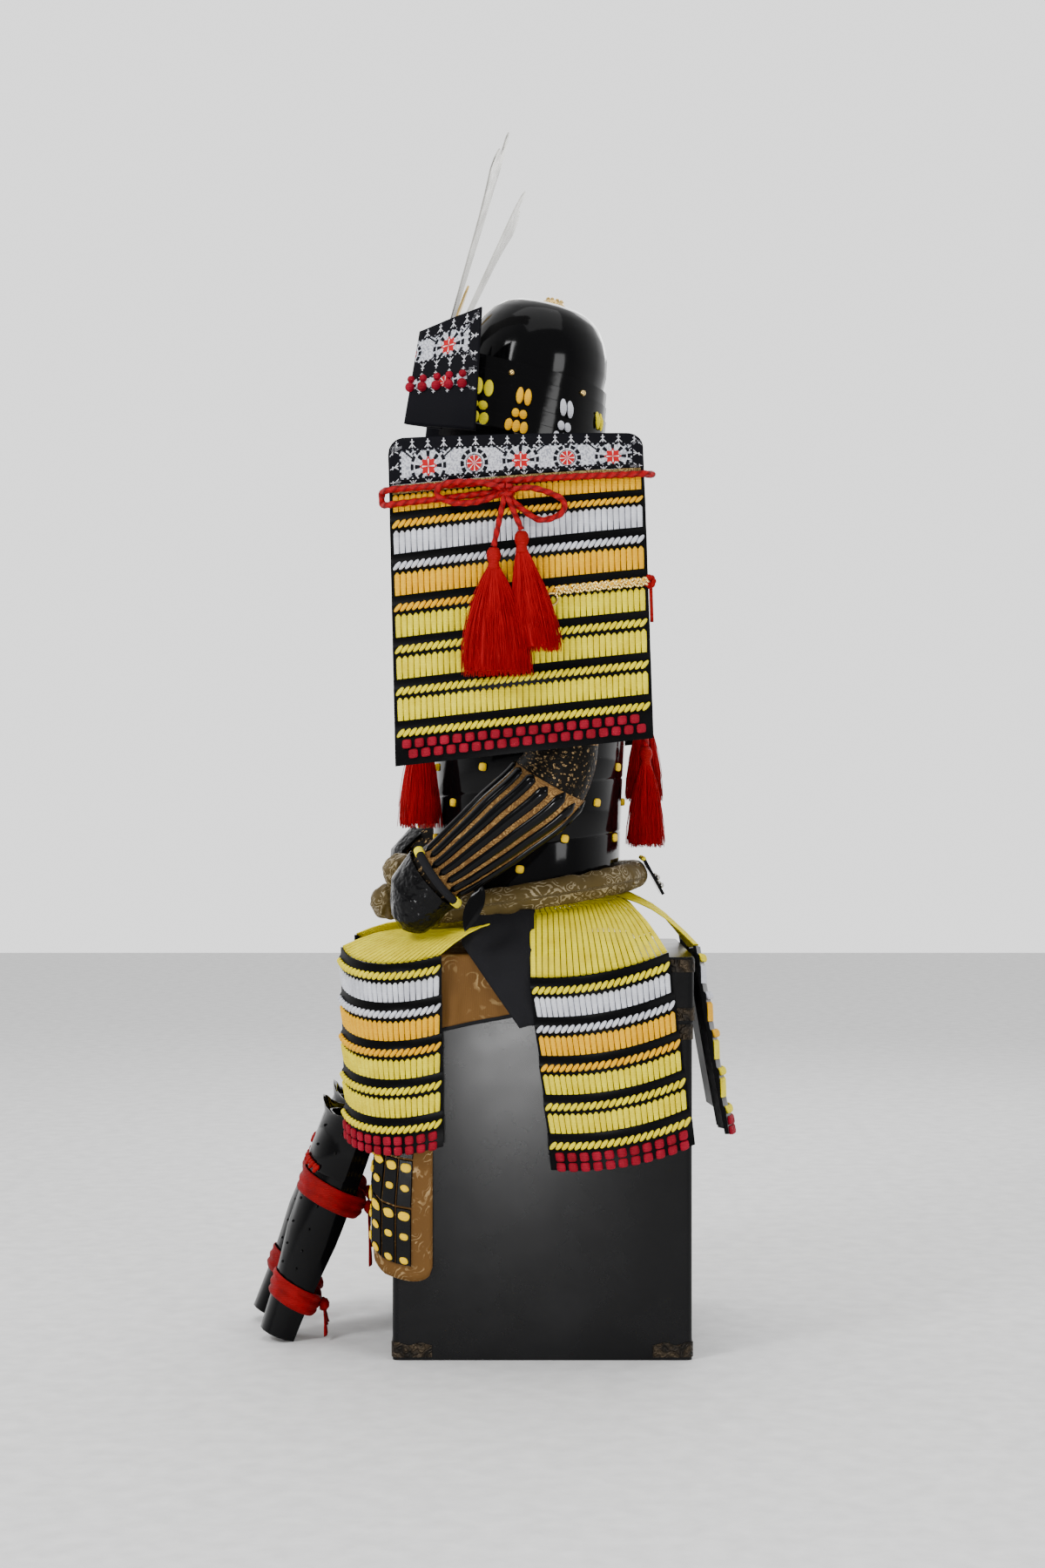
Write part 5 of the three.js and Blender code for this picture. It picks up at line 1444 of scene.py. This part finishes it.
points, faces, maps, own = shell(peak_point, steps(0, 38, 14), steps(rad(-47), rad(47), 48), 2.6)
edge = [(min(38 - out, 6 + out), angle * 120) for out, angle in own]
piece("peak_leather", points, faces, LEATHER, "printed_leather", maps, edge, replaces=["helmet_peak"])


def neck_place(u, z, out):
    around = min(1, abs(u) / 0.7) * rad(96) * copysign(1, u)
    forward = max(0, abs(u) - 0.7) / 0.3
    x = (HELMET["half_width"] + out) * sin(around) - 5 * forward * copysign(1, u)
    y = (HELMET["half_length"] + out) * cos(around) - 106 * forward
    return helm(x, y, z)


def neck_spot(middle):
    def spot(u, v, h):
        z = 12 - v
        lame = clamp(v / 18.4, 0, 4.999)
        out = GAP + 1 + int(lame) * 4.2 + 4 + 2.6 * (lame - int(lame))
        return neck_place(middle + u / 230, z, out + h)

    return spot


heap = Heap()
for middle, pick in ((0.16, 0), (0.41, 2), (0.635, 1), (0.805, 0)):
    for sign in (1, -1):
        spot = neck_spot(sign * middle)
        for u in (-4.6, 4.6):
            heap.add(*lump(spot, u, 43, 1.5, (4.2, 11.5, 2.8), 0.12, 7, 12), pick=pick)
            heap.add(*lump(spot, 0.9 * u, 67, 1.5, (4.2, 6.2, 2.8), 0.12, 6, 12), pick=pick)
        for u in (-8, 0, 8):
            heap.add(*lump(spot, u, 84, 1.5, (4.2, 8.2, 2.8), 0.05, 6, 12), pick=pick)

# A gilt rivet with a domed head between the groups
for middle in (0.32, 0.72):
    for sign in (1, -1):
        spot = neck_spot(sign * middle)
        heap.add(*ball(spot(0, 16, 1.5), (4.2, 4.2, 4.2), 16, 10), pick=3)
heap.make("neck_guard_lacing", [YELLOW, ORANGE, WHITE, GOLD], "yellow_lacing")

heap = Heap()
for count, radius, z, size in ((16, 18, 106.5, 3.0), (12, 13.5, 111, 2.8), (9, 10, 117, 2.6)):
    for k in range(count):
        a = 2 * pi * k / count + z
        heap.add(*ball(helm(radius * cos(a), 4 + radius * sin(a), z), (size, size, size), 10, 8))
heap.make("crown_beads", [GOLD], "gold")

# Chased metal plates on the box's corners

heap = Heap()


def corner_plate(sx, sy, half_x, half_y, low, high, reach, wavy):
    corner = 8
    line = [(half_x - corner - t, half_y) for t in steps(reach, 0, 6)]
    line += [(half_x - corner + corner * sin(a), half_y - corner + corner * cos(a)) for a in
             steps(0, pi / 2, 6)[1:]]
    line += [(half_x, half_y - corner - t) for t in steps(0, reach, 6)[1:]]

    def place(v, i, out):
        x, y = line[i]
        end = min(i, len(line) - 1 - i) / 6
        top = high - (wavy * (0.5 + 0.5 * cos(9 * end)) if end < 1 else 0)
        nx = clamp((x - half_x + corner) / corner)
        ny = clamp((y - half_y + corner) / corner)
        away = Vector((nx, ny)).normalized() * (1.5 + out)
        return (sx * (x + away.x), sy * (y + away.y), lerp(top, low, v))

    points, faces, maps, own = shell(place, [0, 0.5, 1], range(len(line)), 1.2)
    if sx * sy < 0:
        faces = [f[::-1] for f in faces]
    heap.add(points, faces, maps)


for sx in (1, -1):
    for sy in (1, -1):
        corner_plate(sx, sy, 203, 189, 4, 23, 42, 4)
        corner_plate(sx, sy, 203, 189, 404, 423, 20, 0)
        corner_plate(sx, sy, 205, 191, 428, 444, 20, 0)
        corner_plate(sx, sy, 205, 191, 489, 505, 24, 0)
heap.make("box_corner_plates", [ORNATE], "box_lacquer", smooth=False)

# Floor and light

floor = bpy.data.meshes.new("floor")
floor.from_pydata([(-8, -8, 0), (8, -8, 0), (8, 8, 0), (-8, 8, 0)], [], [(0, 1, 2, 3)])
ground = bpy.data.objects.new("floor", floor)
bpy.context.collection.objects.link(ground)
floor.materials.append(plain_cloth("floor", (0.92, 0.92, 0.92), 0.8))


def softbox(name, place, target, size, power):
    light = bpy.data.lights.new(name, "AREA")
    light.shape = "RECTANGLE"
    light.size, light.size_y = size
    light.energy = power
    made = bpy.data.objects.new(name, light)
    made.location = place
    made.rotation_euler = (Vector(target) - Vector(place)).to_track_quat("-Z", "Y").to_euler()
    bpy.context.collection.objects.link(made)


softbox("key", (2.6, -2.4, 3.0), (0, 0, 0.9), (1.0, 1.0), 95)
softbox("fill", (3.2, 2.4, 1.9), (0, 0, 0.8), (1.1, 1.0), 40)
softbox("top", (0.6, 0.2, 3.6), (0, 0, 0.9), (2.2, 2.2), 26)
softbox("back", (-2.6, 0.6, 2.6), (0, 0, 0.9), (1.8, 1.8), 40)
softbox("low", (3.3, -0.12, 0.16), (0.2, -0.06, 0.36), (0.5, 0.28), 30)

# The studio's wall is pale behind the armour's right side and darker on its left
world = bpy.data.worlds.new("world")
bpy.context.scene.world = world
world.use_nodes = True
sky = world.node_tree
source = sky.nodes.new("ShaderNodeTexCoord")
split = sky.nodes.new("ShaderNodeSeparateXYZ")
tone = sky.nodes.new("ShaderNodeMapRange")
sky.links.new(source.outputs["Generated"], split.inputs[0])
sky.links.new(split.outputs[0], tone.inputs["Value"])
for socket, value in (("From Min", -0.6), ("From Max", 0.5), ("To Min", 1.75), ("To Max", 0.45)):
    tone.inputs[socket].default_value = value
sky.links.new(tone.outputs[0], sky.nodes["Background"].inputs[1])
sky.nodes["Background"].inputs[0].default_value = (1, 1, 1, 1)
